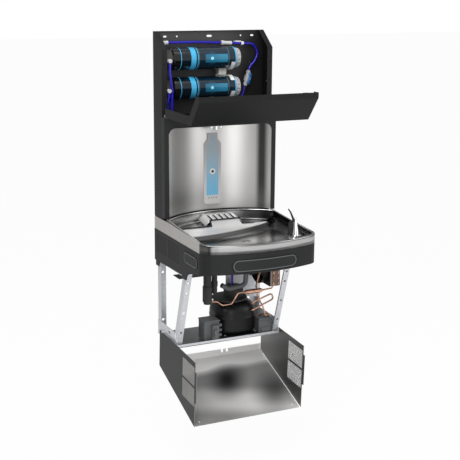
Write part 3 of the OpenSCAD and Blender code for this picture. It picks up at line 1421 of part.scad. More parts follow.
module lower_shroud() color("#434445") swing(shroud_hinge, shroud_open) difference() {
    union() {
        both_sides() across(-shroud_half, sheet_t) polygon(shroud_side());
        across(-shroud_half, shroud_w) polygon(front_strip(0, sheet_t));
        // Folded seam inside each front corner
        both_sides() across(-shroud_half, seam_w) polygon(front_strip(sheet_t, 2 * sheet_t));
        // Bottom lip under the base pan
        block([-shroud_half, shroud_rear - shroud_foot, shroud_z],
            [shroud_half, shroud_rear - shroud_foot + bottom_lip, shroud_z + sheet_t]);
    }
    both_sides() for (i = [0, 1]) across(-shroud_half - over, sheet_t + 2 * over)
        translate([-vent_rear - (i + 1) * vent_w - i * vent_rib, vent_low]) square([vent_w, vent_h]);
    both_sides() across(-shroud_half - over, sheet_t + 2 * over) translate(shroud_hinge)
        circle(shroud_pin_r + run);
    // Notches in the bottom lip and screw holes at the top corners
    for (x = lip_notch_x) block([x, shroud_rear - shroud_foot + bottom_lip / 2, shroud_z - over],
        [x + lip_notch, shroud_rear, shroud_z + 2 * sheet_t]);
    for (s = [-1, 1]) translate([s * (shroud_half - 3 * lip_notch),
        shroud_rear - shroud_head + lip_notch / 2, shroud_z + shroud_h - 2 * lip_notch])
        rotate([90, 0, 0]) rod_z([0, 0, -3 * lip_notch], post_hole_r - over, 6 * lip_notch);
}
mesh_t = 1;
mesh_frame = 3;
mesh_pitch = 12.4;
mesh_hole_r = 4.6;
mesh_cols = 6;
mesh_rows = 9;
module vent_mesh() difference() {
    square([vent_w - 2 * gap, vent_h - 2 * gap]);
    for (c = [0 : mesh_cols - 1], r = [0 : mesh_rows - 1])
        translate([(vent_w - 2 * gap) / 2 + (c - (mesh_cols - 1) / 2) * mesh_pitch,
            (vent_h - 2 * gap) / 2 + (r - (mesh_rows - 1) / 2) * mesh_pitch]) circle(mesh_hole_r, $fn = 6);
}
module shroud_vents() color("#9c9c9a") swing(shroud_hinge, shroud_open) both_sides() for (i = [0, 1])
    across(-shroud_half + mesh_t / 4, mesh_t)
        translate([gap - vent_rear - (i + 1) * vent_w - i * vent_rib, vent_low + gap])
        vent_mesh();

back_panel();
side_wall_left();
side_wall_right();
alcove_bezel();
bay_floor();
alcove_liner();
alcove_ceiling();
bottle_window();
sensor_ring();
sensor_lens();
indicator_lights();
fill_nozzle();
filter_heads();
filter_saddles();
filter_upper();
filter_lower();
filter_bands_upper();
filter_bands_lower();
filter_grip_upper();
filter_grip_lower();
water_tubes();
tube_fittings();
tube_clip();
valve_body();
valve_handle();
bay_screws();
upper_cover();
cover_hinges();
basin();
strainer();
end_cap_left();
end_cap_right();
louvre_panel_left();
louvre_panel_right();
apron();
front_push_bar();
side_push_left();
side_push_right();
bubbler_body();
bubbler_guard();
deck_rails();
frame_posts();
front_posts();
base_pan();
component_plate();
compressor();
compressor_cap();
relay_box();
control_box();
condenser();
condenser_tubes();
fan_shroud();
fan_motor();
fan_blade();
copper_lines();
filter_drier();
drain_hose();
water_valves();
lower_shroud();
shroud_vents();
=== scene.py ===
"""Looks for a wall-hung bottle filling station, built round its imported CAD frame."""
import logging
import math
from dataclasses import dataclass, field
from enum import Enum
from typing import Any, Sequence

import bmesh
import bpy
from mathutils import Matrix, Vector


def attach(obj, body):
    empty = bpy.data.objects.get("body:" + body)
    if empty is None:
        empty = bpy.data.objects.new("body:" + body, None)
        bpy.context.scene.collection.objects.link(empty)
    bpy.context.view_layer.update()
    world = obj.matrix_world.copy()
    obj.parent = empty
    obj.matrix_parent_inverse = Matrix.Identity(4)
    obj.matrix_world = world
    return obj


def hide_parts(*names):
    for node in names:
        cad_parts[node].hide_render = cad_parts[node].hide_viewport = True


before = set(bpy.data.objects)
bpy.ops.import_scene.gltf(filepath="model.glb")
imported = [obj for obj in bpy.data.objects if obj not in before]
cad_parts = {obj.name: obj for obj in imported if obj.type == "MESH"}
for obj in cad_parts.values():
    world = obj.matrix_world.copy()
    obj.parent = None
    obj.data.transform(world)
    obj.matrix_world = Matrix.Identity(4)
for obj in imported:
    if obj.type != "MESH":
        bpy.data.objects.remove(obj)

LOG = logging.getLogger("station")
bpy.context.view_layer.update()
Colour = tuple[float, float, float]
Point = tuple[float, float, float]
Shape = tuple[list[Vector], list[list[int]]]
MM = 0.001


def tone(code: str) -> Colour:
    """Turns a colour written as a hex code into linear values.

    Args:
        code: The colour, such as "#2b2b2b".

    Returns:
        Its linear red, green and blue.
    """
    parts = [int(code[i:i + 2], 16) / 255 for i in (1, 3, 5)]
    return tuple(p / 12.92 if p <= 0.04045 else ((p + 0.055) / 1.055) ** 2.4 for p in parts)


class Grain(Enum):
    """Direction in which a sheet was brushed."""

    ACROSS = (1.0, 40.0, 40.0)
    DEEP = (40.0, 1.0, 40.0)


class Wear(Enum):
    """How much a surface has been handled."""

    FRESH = 0.25
    USED = 0.6


class Value:
    """One shader socket that can be used in ordinary arithmetic."""

    def __init__(self, graph: "Graph", link: bpy.types.NodeSocket) -> None:
        """Keeps the socket and the graph that it belongs to."""
        self.graph = graph
        self.link = link

    def _math(self, operation: str, first: Any, second: Any) -> "Value":
        """Adds one Math node for two values."""
        return self.graph.node("ShaderNodeMath", {"operation": operation}, {0: first, 1: second})

    def __add__(self, other: Any) -> "Value":
        """Sum."""
        return self._math("ADD", self, other)

    def __radd__(self, other: Any) -> "Value":
        """Sum with a plain number first."""
        return self._math("ADD", other, self)

    def __sub__(self, other: Any) -> "Value":
        """Difference."""
        return self._math("SUBTRACT", self, other)

    def __rsub__(self, other: Any) -> "Value":
        """Difference with a plain number first."""
        return self._math("SUBTRACT", other, self)

    def __mul__(self, other: Any) -> "Value":
        """Product."""
        return self._math("MULTIPLY", self, other)

    def __rmul__(self, other: Any) -> "Value":
        """Product with a plain number first."""
        return self._math("MULTIPLY", other, self)

    def __truediv__(self, other: Any) -> "Value":
        """Quotient."""
        return self._math("DIVIDE", self, other)

    def __gt__(self, other: Any) -> "Value":
        """One where this is the greater, else zero."""
        return self._math("GREATER_THAN", self, other)

    def __lt__(self, other: Any) -> "Value":
        """One where this is the smaller, else zero."""
        return self._math("LESS_THAN", self, other)

    def __abs__(self) -> "Value":
        """Size without its sign."""
        return self._math("ABSOLUTE", self, 0.0)

    def __pow__(self, other: Any) -> "Value":
        """Power."""
        return self._math("POWER", self, other)

    def top(self, other: Any) -> "Value":
        """The greater of the two."""
        return self._math("MAXIMUM", self, other)

    def least(self, other: Any) -> "Value":
        """The smaller of the two."""
        return self._math("MINIMUM", self, other)

    def part(self) -> "Value":
        """What is left over the whole number below."""
        return self._math("FRACT", self, 0.0)

    def fade(self, low: float, high: float) -> "Value":
        """Goes smoothly from 0 at low to 1 at high.

        Args:
            low: Where the result is 0.
            high: Where the result is 1.

        Returns:
            The faded value.
        """
        return self.graph.node("ShaderNodeMapRange", {"interpolation_type": "SMOOTHSTEP"},
                               {0: self, 1: low, 2: high, 3: 0.0, 4: 1.0})

    def drop(self, low: float, high: float) -> "Value":
        """Goes smoothly from 1 at low to 0 at high."""
        return 1.0 - self.fade(low, high)

    def near(self, centre: float, half: float, soft: float) -> "Value":
        """One within half of centre, with a soft edge outside it."""
        return abs(self - centre).drop(half, half + soft)

    def far(self, other: Any) -> "Value":
        """Length of a line that runs this far one way and that far across."""
        return (self ** 2 + other ** 2) ** 0.5


class Graph:
    """The node tree of one material or world."""

    def __init__(self, owner: Any) -> None:
        """Empties the tree of a new material or world.

        Args:
            owner: A new material or world.
        """
        self.owner = owner
        owner.use_nodes = True
        self.tree = owner.node_tree
        self.tree.nodes.clear()

    def node(self, kind: str, settings: dict[str, Any] | None = None,
             values: dict[Any, Any] | None = None, out: int | str = 0) -> Value:
        """Adds a node, sets it, and fills its sockets.

        Args:
            kind: The node's type.
            settings: What is set on the node itself.
            values: Numbers, colours or links for its sockets.
            out: The output that is wanted.

        Returns:
            That output, wrapped.
        """
        made = self.tree.nodes.new(kind)
        for key, value in (settings or {}).items():
            setattr(made, key, value)
        for key, value in (values or {}).items():
            if isinstance(value, Value):
                self.tree.links.new(value.link, made.inputs[key])
            else:
                made.inputs[key].default_value = value
        return Value(self, made.outputs[out] if made.outputs else None)

    def place(self) -> Value:
        """The point on the object, which moves with the object."""
        return self.node("ShaderNodeTexCoord", out="Object")

    def axis(self, which: str) -> Value:
        """One coordinate of the point on the object, in metres."""
        return self.node("ShaderNodeSeparateXYZ", None, {0: self.place()}, which)

    def axes(self, names: str) -> tuple[Value, ...]:
        """Several coordinates of the point, such as XZ."""
        return tuple(self.axis(name) for name in names)

    def vector(self, operation: str, first: Any, second: Any, out: str = "Vector") -> Value:
        """Adds one Vector Math node for two vectors or colours."""
        return self.node("ShaderNodeVectorMath", {"operation": operation}, {0: first, 1: second}, out)

    def along(self, direction: Point) -> Value:
        """How far the point lies along a direction."""
        return self.vector("DOT_PRODUCT", self.place(), direction, "Value")

    def noise(self, scale: float, stretch: Point = (1.0, 1.0, 1.0), detail: float = 2.0) -> Value:
        """Noise between 0 and 1.

        Args:
            scale: Waves in a metre.
            stretch: How much finer it is along X, Y and Z.
            detail: Finer waves on top.

        Returns:
            The noise value.
        """
        spot = self.vector("MULTIPLY", self.place(), stretch)
        return self.node("ShaderNodeTexNoise", None,
                         {"Vector": spot, "Scale": scale, "Detail": detail}, "Fac")

    def cells(self, scale: float) -> Value:
        """Random cells, such as the spangle of zinc."""
        return self.node("ShaderNodeTexVoronoi", None, {"Vector": self.place(), "Scale": scale}, "Color")

    def brushed(self, grain: Grain) -> Value:
        """Long scratches of two sizes."""
        return 0.6 * self.noise(38.0, grain.value, 5.0) + 0.4 * self.noise(110.0, grain.value)

    def mix(self, share: Any, first: Any, second: Any) -> Value:
        """Mixes two colours.

        Args:
            share: How much of the second one, 0 to 1.
            first: A colour or its link.
            second: A colour or its link.

        Returns:
            The mixed colour.
        """
        def full(c: Any) -> Any:
            """Gives a plain colour its alpha."""
            return c if isinstance(c, Value) else (*c, 1.0)
        return self.node("ShaderNodeMix", {"data_type": "RGBA"},
                         {0: share, 6: full(first), 7: full(second)}, 2)

    def shade(self, colour: Value | Colour, by: Value) -> Value:
        """Multiplies a colour by a grey value."""
        grey = self.node("ShaderNodeCombineXYZ", None, {0: by, 1: by, 2: by})
        return self.vector("MULTIPLY", colour, grey)

    def bump(self, height: Value, strength: float, depth: float) -> Value:
        """A normal with small height on it."""
        return self.node("ShaderNodeBump", None,
                         {"Height": height, "Strength": strength, "Distance": depth}, "Normal")

    def finish(self, **values: Any) -> bpy.types.Material:
        """Closes the material with one Principled shader.

        Args:
            values: Its sockets by name, with _ for a space.

        Returns:
            The material.
        """
        sockets = {k.replace("_", " "): v for k, v in values.items()}
        self.surface(self.node("ShaderNodeBsdfPrincipled", None, sockets, "BSDF"))
        return self.owner

    def surface(self, shader: Value, kind: str = "ShaderNodeOutputMaterial") -> None:
        """Links a shader to the tree's output."""
        self.node(kind, None, {"Surface": shader})


@dataclass(frozen=True)
class Finish:
    """A surface finish. Each kind builds its own material once."""

    name: str
    colour: Colour
    roughness: float = 0.5

    def build(self, g: Graph) -> bpy.types.Material:
        """Builds the material: every kind of finish has its own."""
        raise NotImplementedError

    def material(self) -> bpy.types.Material:
        """Gives the finish's material, building it the first time."""
        found = bpy.data.materials.get(self.name)
        return found or self.build(Graph(bpy.data.materials.new(self.name)))


@dataclass(frozen=True)
class Powder(Finish):
    """Powder-coated steel with a fine texture and faint handling marks."""

    wear: Wear = Wear.FRESH

    def build(self, g: Graph) -> bpy.types.Material:
        """Fine pebbled bump, clouded gloss and a few rubbed streaks.

        Args:
            g: The node tree to build in.

        Returns:
            The material.
        """
        fine = g.noise(1400.0, detail=3.0)
        cloud = g.noise(7.0, detail=3.0)
        rubbed = g.noise(30.0, (1.0, 1.0, 6.0), 4.0).fade(0.62, 0.78) * self.wear.value
        colour = g.shade(self.colour, 0.9 + 0.16 * cloud + 0.08 * (fine - 0.5))
        worn = tuple(min(1.0, c * 2.2 + 0.01) for c in self.colour)
        return g.finish(Base_Color=g.mix(rubbed * 0.35, colour, worn),
                        Roughness=self.roughness + 0.16 * (cloud - 0.5) - 0.1 * rubbed,
                        Normal=g.bump(fine, 0.22, 0.0004), Specular_IOR_Level=0.28)


@dataclass(frozen=True)
class BayPaint(Powder):
    """The bay's back sheet, with painted shade towards its right side and its foot."""

    def build(self, g: Graph) -> bpy.types.Material:
        """Soft painted shade over a fine texture.

        Args:
            g: The node tree to build in.

        Returns:
            The material.
        """
        fine = g.noise(1400.0, detail=3.0)
        # painted shade: darker towards the right side and towards the foot of the bay
        shade = g.axis("X").fade(0.030, 0.215) * 0.78 + g.axis("Z").drop(0.745, 0.800) * 0.35
        return g.finish(Base_Color=g.shade(self.colour, 1.02 - shade + 0.08 * (fine - 0.5)),
                        Roughness=self.roughness + 0.1 * (g.noise(7.0) - 0.5),
                        Normal=g.bump(fine, 0.22, 0.0004), Specular_IOR_Level=0.25)


@dataclass(frozen=True)
class Moulded(Finish):
    """Moulded plastic with a spark-eroded grain."""

    grain: float = 900.0
    gloss: float = 0.0

    def build(self, g: Graph) -> bpy.types.Material:
        """Even grain bump and slow flow marks.

        Args:
            g: The node tree to build in.

        Returns:
            The material.
        """
        fine = g.noise(self.grain, detail=4.0)
        flow = g.noise(5.0, (1.0, 1.0, 3.0), 2.0)
        return g.finish(Base_Color=g.shade(self.colour, 0.92 + 0.14 * flow + 0.06 * (fine - 0.5)),
                        Roughness=self.roughness + 0.12 * (flow - 0.5) + 0.06 * (fine - 0.5),
                        Normal=g.bump(fine, 0.18, 0.0003), Coat_Weight=self.gloss,
                        Coat_Roughness=0.12, Specular_IOR_Level=0.32)


@dataclass(frozen=True)
class Pad(Moulded):
    """Push pad plastic with a painted highlight on its raised bead and painted shade along its edge."""

    half: tuple[float, float] = (0.131, 0.0235)
    radius: float = 0.0235
    middle: float = 0.0
    height: float = 0.243
    across: str = "X"

    def build(self, g: Graph) -> bpy.types.Material:
        """Grain, and rings of painted highlight and painted shade that follow the pad's outline.

        Args:
            g: The node tree to build in.

        Returns:
            The material.
        """
        fine = g.noise(self.grain, detail=4.0)
        run = abs(g.axis(self.across) - self.middle) - (self.half[0] - self.radius)
        rise = abs(g.axis("Z") - self.height) - (self.half[1] - self.radius)
        inset = self.radius - run.top(0.0).far(rise.top(0.0))
        # bead marks the raised bead; the paler grey mixed in below is a painted highlight on it
        bead = inset.near(0.0040, 0.0011, 0.0008)
        # rim: painted shade, near black, in the groove along the pad's edge
        rim = inset.drop(0.0006, 0.0024) * 0.85
        plain = g.mix(bead, g.shade(self.colour, 0.95 + 0.1 * (fine - 0.5)), tone("#5c5e60"))
        return g.finish(Base_Color=g.mix(rim, plain, (0.002, 0.002, 0.002)),
                        Roughness=self.roughness + 0.06 * (fine - 0.5),
                        Normal=g.bump(bead + 0.1 * fine, 0.35, 0.0006), Specular_IOR_Level=0.32)


@dataclass(frozen=True)
class Brushed(Finish):
    """Brushed stainless steel."""

    grain: Grain = Grain.ACROSS
    streak: float = 0.1
    metal: float = 1.0

    def metallic(self, g: Graph) -> Value | float:
        """How much of the light is mirrored rather than scattered."""
        return self.metal

    def tint(self, g: Graph) -> Value | Colour:
        """The colour before the brush marks."""
        cloud = g.noise(3.2, detail=3.0)
        return g.shade(self.colour, 0.93 + 0.14 * cloud)

    def build(self, g: Graph) -> bpy.types.Material:
        """Long fine scratches in colour, gloss and bump.

        Args:
            g: The node tree to build in.

        Returns:
            The material.
        """
        marks = g.brushed(self.grain)
        return g.finish(Base_Color=g.shade(self.tint(g), 1.0 + 2.0 * self.streak * (marks - 0.5)),
                        Metallic=self.metallic(g),
                        Roughness=self.roughness + 0.22 * (marks - 0.5),
                        Normal=g.bump(marks, 0.12, 0.0005))


@dataclass(frozen=True)
class BowlSteel(Brushed):
    """Basin steel with painted highlights on the ridge and the rim and painted shade down in the bowls.
    """

    slope: float = 0.0625
    rear: float = 0.346

    def depth(self, g: Graph) -> Value:
        """How far the point lies under the sloping rim."""
        return self.rear + (g.axis("Y") + 0.121).least(0.0) * self.slope - g.axis("Z")

    def ridge(self, g: Graph) -> Value:
        """One on the ridge between the bowls and on its tab.

        Args:
            g: The node tree to build in.

        Returns:
            The share, 0 to 1.
        """
        x, y = g.axes("XY")
        round_ = (x + 0.215).far(y - 0.521)
        tab = (x - (y + 0.123) * 0.36).near(0.0145, 0.0635, 0.003) * y.drop(-0.1275, -0.1235)
        flat = y.drop(-0.2015, -0.1975)
        return self.depth(g).near(0.0212, 0.0032, 0.0015) * tab.top(flat) * round_.drop(0.834, 0.838)

    def metallic(self, g: Graph) -> Value:
        """Satin on the ridge, mirror-like elsewhere."""
        return 1.0 - 0.75 * self.ridge(g)

    def tint(self, g: Graph) -> Value:
        """Painted shade and painted highlights by depth below the rim, with soft rolling marks.

        Args:
            g: The node tree to build in.

        Returns:
            The colour.
        """
        x, y, z = g.axes("XYZ")
        depth, ridge = self.depth(g), self.ridge(g)
        bow = x.far(y - 0.116).fade(0.6355, 0.6362)
        turn = (abs(x) - 0.185).far(y + 0.441).fade(0.0486, 0.0492)
        turn = turn * (abs(x) > 0.185) * (y < -0.441)
        band = bow.top(turn) * depth.fade(0.002, 0.004)
        # painted shade: a dark line just under the rim
        line = depth.near(0.0050, 0.0022, 0.0014) * (1.0 - band)
        # painted shade down the bowl walls, below the rim and off the ridge
        wall = depth.fade(0.0012, 0.0045) * (1.0 - ridge) * z.fade(0.2870, 0.2880) * (1.0 - band)
        rolled = g.noise(5.0, (1.0, 2.0, 1.0), 2.0)
        rear = y.fade(-0.26, -0.20)
        # painted shade in the right front of the bowls
        corner = x.fade(0.0, 0.14) * y.fade(-0.37, -0.29) * (1.0 - 0.5 * rear)
        # painted shade on the front bowl's wall under the ridge's edge
        under = depth.near(0.0310, 0.0060, 0.0050) * (1.0 - rear)
        # painted highlight on the front bowl's floor
        highlight_reach = (x - 0.06).far((y + 0.42) * 1.6)
        floor_highlight = highlight_reach.drop(0.03, 0.17) * (1.0 - rear)
        # dark gathers the painted shade and painted highlights into one factor; the right wall gets
        # extra painted shade
        dark = (1.0 - 0.22 * wall) * (1.0 - 0.30 * rear * wall) * (1.0 - 0.90 * corner * wall)
        dark = dark * (1.0 - 0.75 * x.fade(0.165, 0.200) * wall) * (1.0 - 0.62 * under)
        dark = dark * (1.0 - 0.6 * line) * (1.0 - 0.25 * rolled * wall) * (1.0 + 0.5 * floor_highlight)
        # painted shade on the band at its left corner
        bend = 0.8 * band * x.near(-0.224, 0.010, 0.014)
        dark = dark * (1.0 - bend - 0.19 * band * x.near(-0.198, 0.010, 0.012))
        # painted shadow on the bowl under the strainer plate
        plate = x.near(0.014, 0.062, 0.010) * y.fade(-0.130, -0.122) * depth.fade(0.020, 0.026)
        # painted shade under the rim's roll, and a painted reflection that darkens the band towards its
        # top
        edge = band * depth.near(0.0042, 0.0014, 0.0010)
        high = 0.36 * band * depth.drop(0.019, 0.029)
        dark = dark * (1.0 - 0.85 * plate) * (1.0 - 0.5 * edge) * (1.0 - high)
        # painted shade on the right of the rear bowl's walls
        dark = dark * (1.0 - 0.35 * x.fade(0.05, 0.15) * rear * wall)
        # painted shade on the front rim's top
        lip = 0.62 * depth.drop(0.0008, 0.0030) * y.drop(-0.44, -0.40)
        dark = dark * (1.0 - lip)
        # painted highlight on the ridge, weaker towards the right
        return g.shade(self.colour, (0.96 + 0.16 * ridge * (1.0 - 0.4 * x.fade(0.02, 0.20))) * dark)


@dataclass(frozen=True)
class PlateSteel(Brushed):
    """Strainer steel with painted shade on the wings, darker outwards, and a painted shadow at each
    slot's front end.
    """

    centre: float = 0.014
    pitch: float = 0.024
    mouth: float = -0.1165

    def tint(self, g: Graph) -> Value:
        """Painted shade by the place on the plate.

        Args:
            g: The node tree to build in.

        Returns:
            The colour.
        """
        x, y = g.axes("XY")
        off = x - self.centre
        phase = (off / self.pitch + 20.5).part() - 0.5
        # painted shadow at the front end of each slot
        away = (phase * self.pitch).far(y - self.mouth)
        spot = away.drop(0.0042, 0.0062) * abs(off).drop(0.058, 0.060)
        # painted shade on the wings, darker outwards
        wing = abs(off).fade(0.062, 0.086)
        return g.shade(self.colour, (1.0 - 0.45 * wing) * (1.0 - 0.96 * spot))


@dataclass(frozen=True)
class LinerSteel(Brushed):
    """The alcove's curved steel, with dark painted reflections along both ends of its curve."""

    half: float = 0.2205

    def tint(self, g: Graph) -> Value:
        """Broad soft bands of painted reflection across the curve, and painted shade towards the bottom.

        Args:
            g: The node tree to build in.

        Returns:
            The colour.
        """
        x, z = g.axes("XZ")
        # painted reflections: dark bands at the left and right, a light strip at the left edge, a
        # lighter middle; low is painted shade towards the bottom
        left = x.near(-0.150, 0.012, 0.085)
        edge = x.near(-0.214, 0.008, 0.012)
        right = x.near(0.190, 0.005, 0.020)
        centre = x.near(0.070, 0.030, 0.100)
        low = z.drop(0.346, 0.480)
        grey = (0.80 - 0.30 * left - 0.72 * right * (1.0 - 0.25 * low) + 0.04 * centre + 0.12 * edge
                - 0.06 * low * (1.0 - centre) + 0.08 * (g.noise(4.0, (1.0, 1.0, 0.4)) - 0.5))
        return g.shade(self.colour, grey)


@dataclass(frozen=True)
class Zinc(Finish):
    """Galvanised sheet with its spangle."""

    spangle: float = 110.0

    def grey(self, g: Graph, flake: Value) -> Value:
        """Crystals under slow clouds."""
        return 0.88 + 0.12 * flake + 0.14 * (g.noise(6.0, detail=4.0) - 0.5)

    def build(self, g: Graph) -> bpy.types.Material:
        """Crystals in colour and gloss.

        Args:
            g: The node tree to build in.

        Returns:
            The material.
        """
        flake = g.node("ShaderNodeSeparateColor", None, {0: g.cells(self.spangle)}, 0)
        return g.finish(Base_Color=g.shade(self.colour, self.grey(g, flake)), Metallic=0.45,
                        Roughness=self.roughness + 0.16 * (flake - 0.5),
                        Normal=g.bump(flake, 0.06, 0.0004))


@dataclass(frozen=True)
class PanZinc(Zinc):
    """Galvanised pan with a painted dark reflection on its floor."""

    floor: float = -0.1530

    def grey(self, g: Graph, flake: Value) -> Value:
        """Crystals, and a painted dark reflection on the floor that is darkest at the left."""
        # painted dark reflection on the pan's floor, darkest at the left
        floor_dark_reflection = g.axis("Z").near(self.floor, 0.0016, 0.0006) * (1.0 - 0.5 * g.axis("X").fade(-0.16, 0.06))
        return (0.88 + 0.12 * flake) * (1.0 - 0.85 * floor_dark_reflection)


@dataclass(frozen=True)
class Louvred(Moulded):
    """Side panel plastic, with a painted highlight on the slats and painted shade, near black, in the
    slots.
    """

    top: float = 0.262
    pitch: float = 0.0076
    span: tuple[float, float] = (-0.2525, -0.0235)
    skin: float = 0.2338

    def build(self, g: Graph) -> bpy.types.Material:
        """Grain all over, with painted highlights on the slats and painted shade in the louvre zone.

        Args:
            g: The node tree to build in.

        Returns:
            The material.
        """
        fine = g.noise(self.grain, detail=4.0)
        y, z = g.axes("YZ")
        phase = ((z - self.top) / self.pitch + 20.0).part()
        # the louvre zone is filled with painted shade, near black, standing for the slots' inside
        zone = y.near(sum(self.span) / 2, (self.span[1] - self.span[0]) / 2, 0.0005)
        zone = zone * z.near(self.top - 4.2 * self.pitch, 5.4 * self.pitch, 0.0005)
        outer = abs(g.axis("X")).fade(self.skin - 0.0004, self.skin)
        # painted highlight on the slats' edges, on the outer face only
        slat_highlight = zone * outer * phase.near(0.15, 0.13, 0.06)
        plain = g.shade(self.colour, 0.95 + 0.1 * (fine - 0.5))
        colour = g.mix(slat_highlight, g.mix(zone, plain, (0.002, 0.002, 0.002)), tone("#414243"))
        return g.finish(Base_Color=colour, Roughness=self.roughness + 0.08 * (fine - 0.5),
                        Normal=g.bump(fine, 0.18, 0.0003), Specular_IOR_Level=0.3)


@dataclass(frozen=True)
class Polished(Finish):
    """Chrome plate or polished metal with the faintest waviness."""

    def build(self, g: Graph) -> bpy.types.Material:
        """Mirror-like metal with smears in its gloss.

        Args:
            g: The node tree to build in.

        Returns:
            The material.
        """
        smear = g.noise(26.0, detail=3.0)
        return g.finish(Base_Color=g.shade(self.colour, 0.96 + 0.06 * smear), Metallic=1.0,
                        Roughness=self.roughness + 0.1 * smear, Normal=g.bump(smear, 0.03, 0.0004))


@dataclass(frozen=True)
class Copper(Finish):
    """Drawn copper tube with darker heat tints."""

    def build(self, g: Graph) -> bpy.types.Material:
        """Patches of brown over bright copper.

        Args:
            g: The node tree to build in.

        Returns:
            The material.
        """
        patch = g.noise(38.0, detail=4.0).fade(0.48, 0.72)
        return g.finish(Base_Color=g.mix(patch * 0.55, self.colour, tone("#6d4030")), Metallic=1.0,
                        Roughness=self.roughness + 0.25 * patch,
                        Normal=g.bump(g.noise(300.0), 0.05, 0.0003))


@dataclass(frozen=True)
class Tubing(Finish):
    """Smooth polyethylene tube."""

    def build(self, g: Graph) -> bpy.types.Material:
        """Even colour under a soft gloss.

        Args:
            g: The node tree to build in.

        Returns:
            The material.
        """
        flow = g.noise(60.0, detail=2.0)
        return g.finish(Base_Color=g.shade(self.colour, 0.88 + 0.2 * flow), Roughness=self.roughness,
                        Coat_Weight=0.25, Coat_Roughness=0.2, Normal=g.bump(flow, 0.05, 0.0004))


@dataclass(frozen=True)
class Speckle(Finish):
    """Light grey plastic with dark and light speckles."""

    def build(self, g: Graph) -> bpy.types.Material:
        """Two sizes of speckle and a fine grain.

        Args:
            g: The node tree to build in.

        Returns:
            The material.
        """
        dark = g.noise(420.0, detail=3.0).fade(0.52, 0.62)
        light = g.noise(250.0, detail=2.0).fade(0.56, 0.66)
        base = g.mix(dark * 0.45, self.colour, tone("#6f6c6a"))
        return g.finish(Base_Color=g.mix(light * 0.4, base, tone("#d2cfcb")),
                        Roughness=self.roughness + 0.1 * (dark - 0.5), Normal=g.bump(dark, 0.1, 0.0003))


@dataclass(frozen=True)
class Cartridge(Finish):
    """Gloss filter shell: black neck end, navy body, one lit panel with a pale dot."""

    height: float = 0.950
    panel: tuple[float, float] = (-0.051, 0.041)
    dot: float = -0.024

    def build(self, g: Graph) -> bpy.types.Material:
        """Printed zones laid along the shell's axis.

        Args:
            g: The node tree to build in.

        Returns:
            The material.
        """
        x, y, z = g.axes("XYZ")
        front = y.drop(-0.066, -0.058)
        up = z - self.height
        middle, half = sum(self.panel) / 2, (self.panel[1] - self.panel[0]) / 2
        panel = x.near(middle, half, 0.002) * up.near(0.002, 0.0145, 0.002) * front
        ring = (x - self.dot).far(up - 0.002)
        dot = ring.drop(0.0052, 0.0068) * front
        glow = ring.drop(0.004, 0.030) * front
        line = (x.near(0.047, 0.0006, 0.0008) + x.near(-0.078, 0.0008, 0.0008)) * 0.5
        navy = g.mix(x.fade(-0.150, -0.148), tone("#0b0908"), self.colour)
        body = g.mix(x.near(-0.004, 0.070, 0.02) * front * 0.35, navy, tone("#0b3247"))
        print_ = g.mix(panel * (0.55 + 0.45 * x.fade(-0.051, 0.035)), body, tone("#2b7a9b"))
        lit = g.mix(glow * 0.5, print_, tone("#1f6f92"))
        ruled = g.mix(line, lit, tone("#6f8f9c"))
        return g.finish(Base_Color=g.mix(dot, ruled, tone("#8fdcf6")), Roughness=self.roughness,
                        Coat_Weight=0.8, Coat_Roughness=0.06)


@dataclass(frozen=True)
class BottlePrint(Finish):
    """The lit bottle: grey border, blue filling with pale stripes, stronger to the bottom."""

    base: float = 0.372
    level: float = 0.406

    def build(self, g: Graph) -> bpy.types.Material:
        """Border, gradient and stripes from the point on the window.

        Args:
            g: The node tree to build in.

        Returns:
            The material.
        """
        x, z = g.axes("XZ")
        wide = 0.0262 - 0.0125 * z.fade(0.604, 0.630)
        inside = (abs(x) - wide).drop(-0.002, 0.001)
        water = inside * z.fade(self.level - 0.002, self.level + 0.003) * z.drop(0.644, 0.652)
        deep = z.drop(0.400, 0.610)
        stripes = (x.near(-0.0165, 0.0012, 0.0012) + x.near(0.0, 0.0012, 0.0012)
                   + x.near(0.0165, 0.0012, 0.0012)) * z.drop(0.50, 0.60)
        blue = g.mix(deep, tone("#93a0a8"), tone("#62aace"))
        striped = g.mix(stripes * 0.55, blue, tone("#8fa6b3"))
        tinted = g.mix(water, g.mix(z.fade(0.39, 0.60), tone("#bdbcbb"), tone("#a3a2a3")), striped)
        return g.finish(Base_Color=tinted, Roughness=self.roughness, Emission_Color=tinted,
                        Emission_Strength=0.12, Coat_Weight=0.3, Coat_Roughness=0.15)


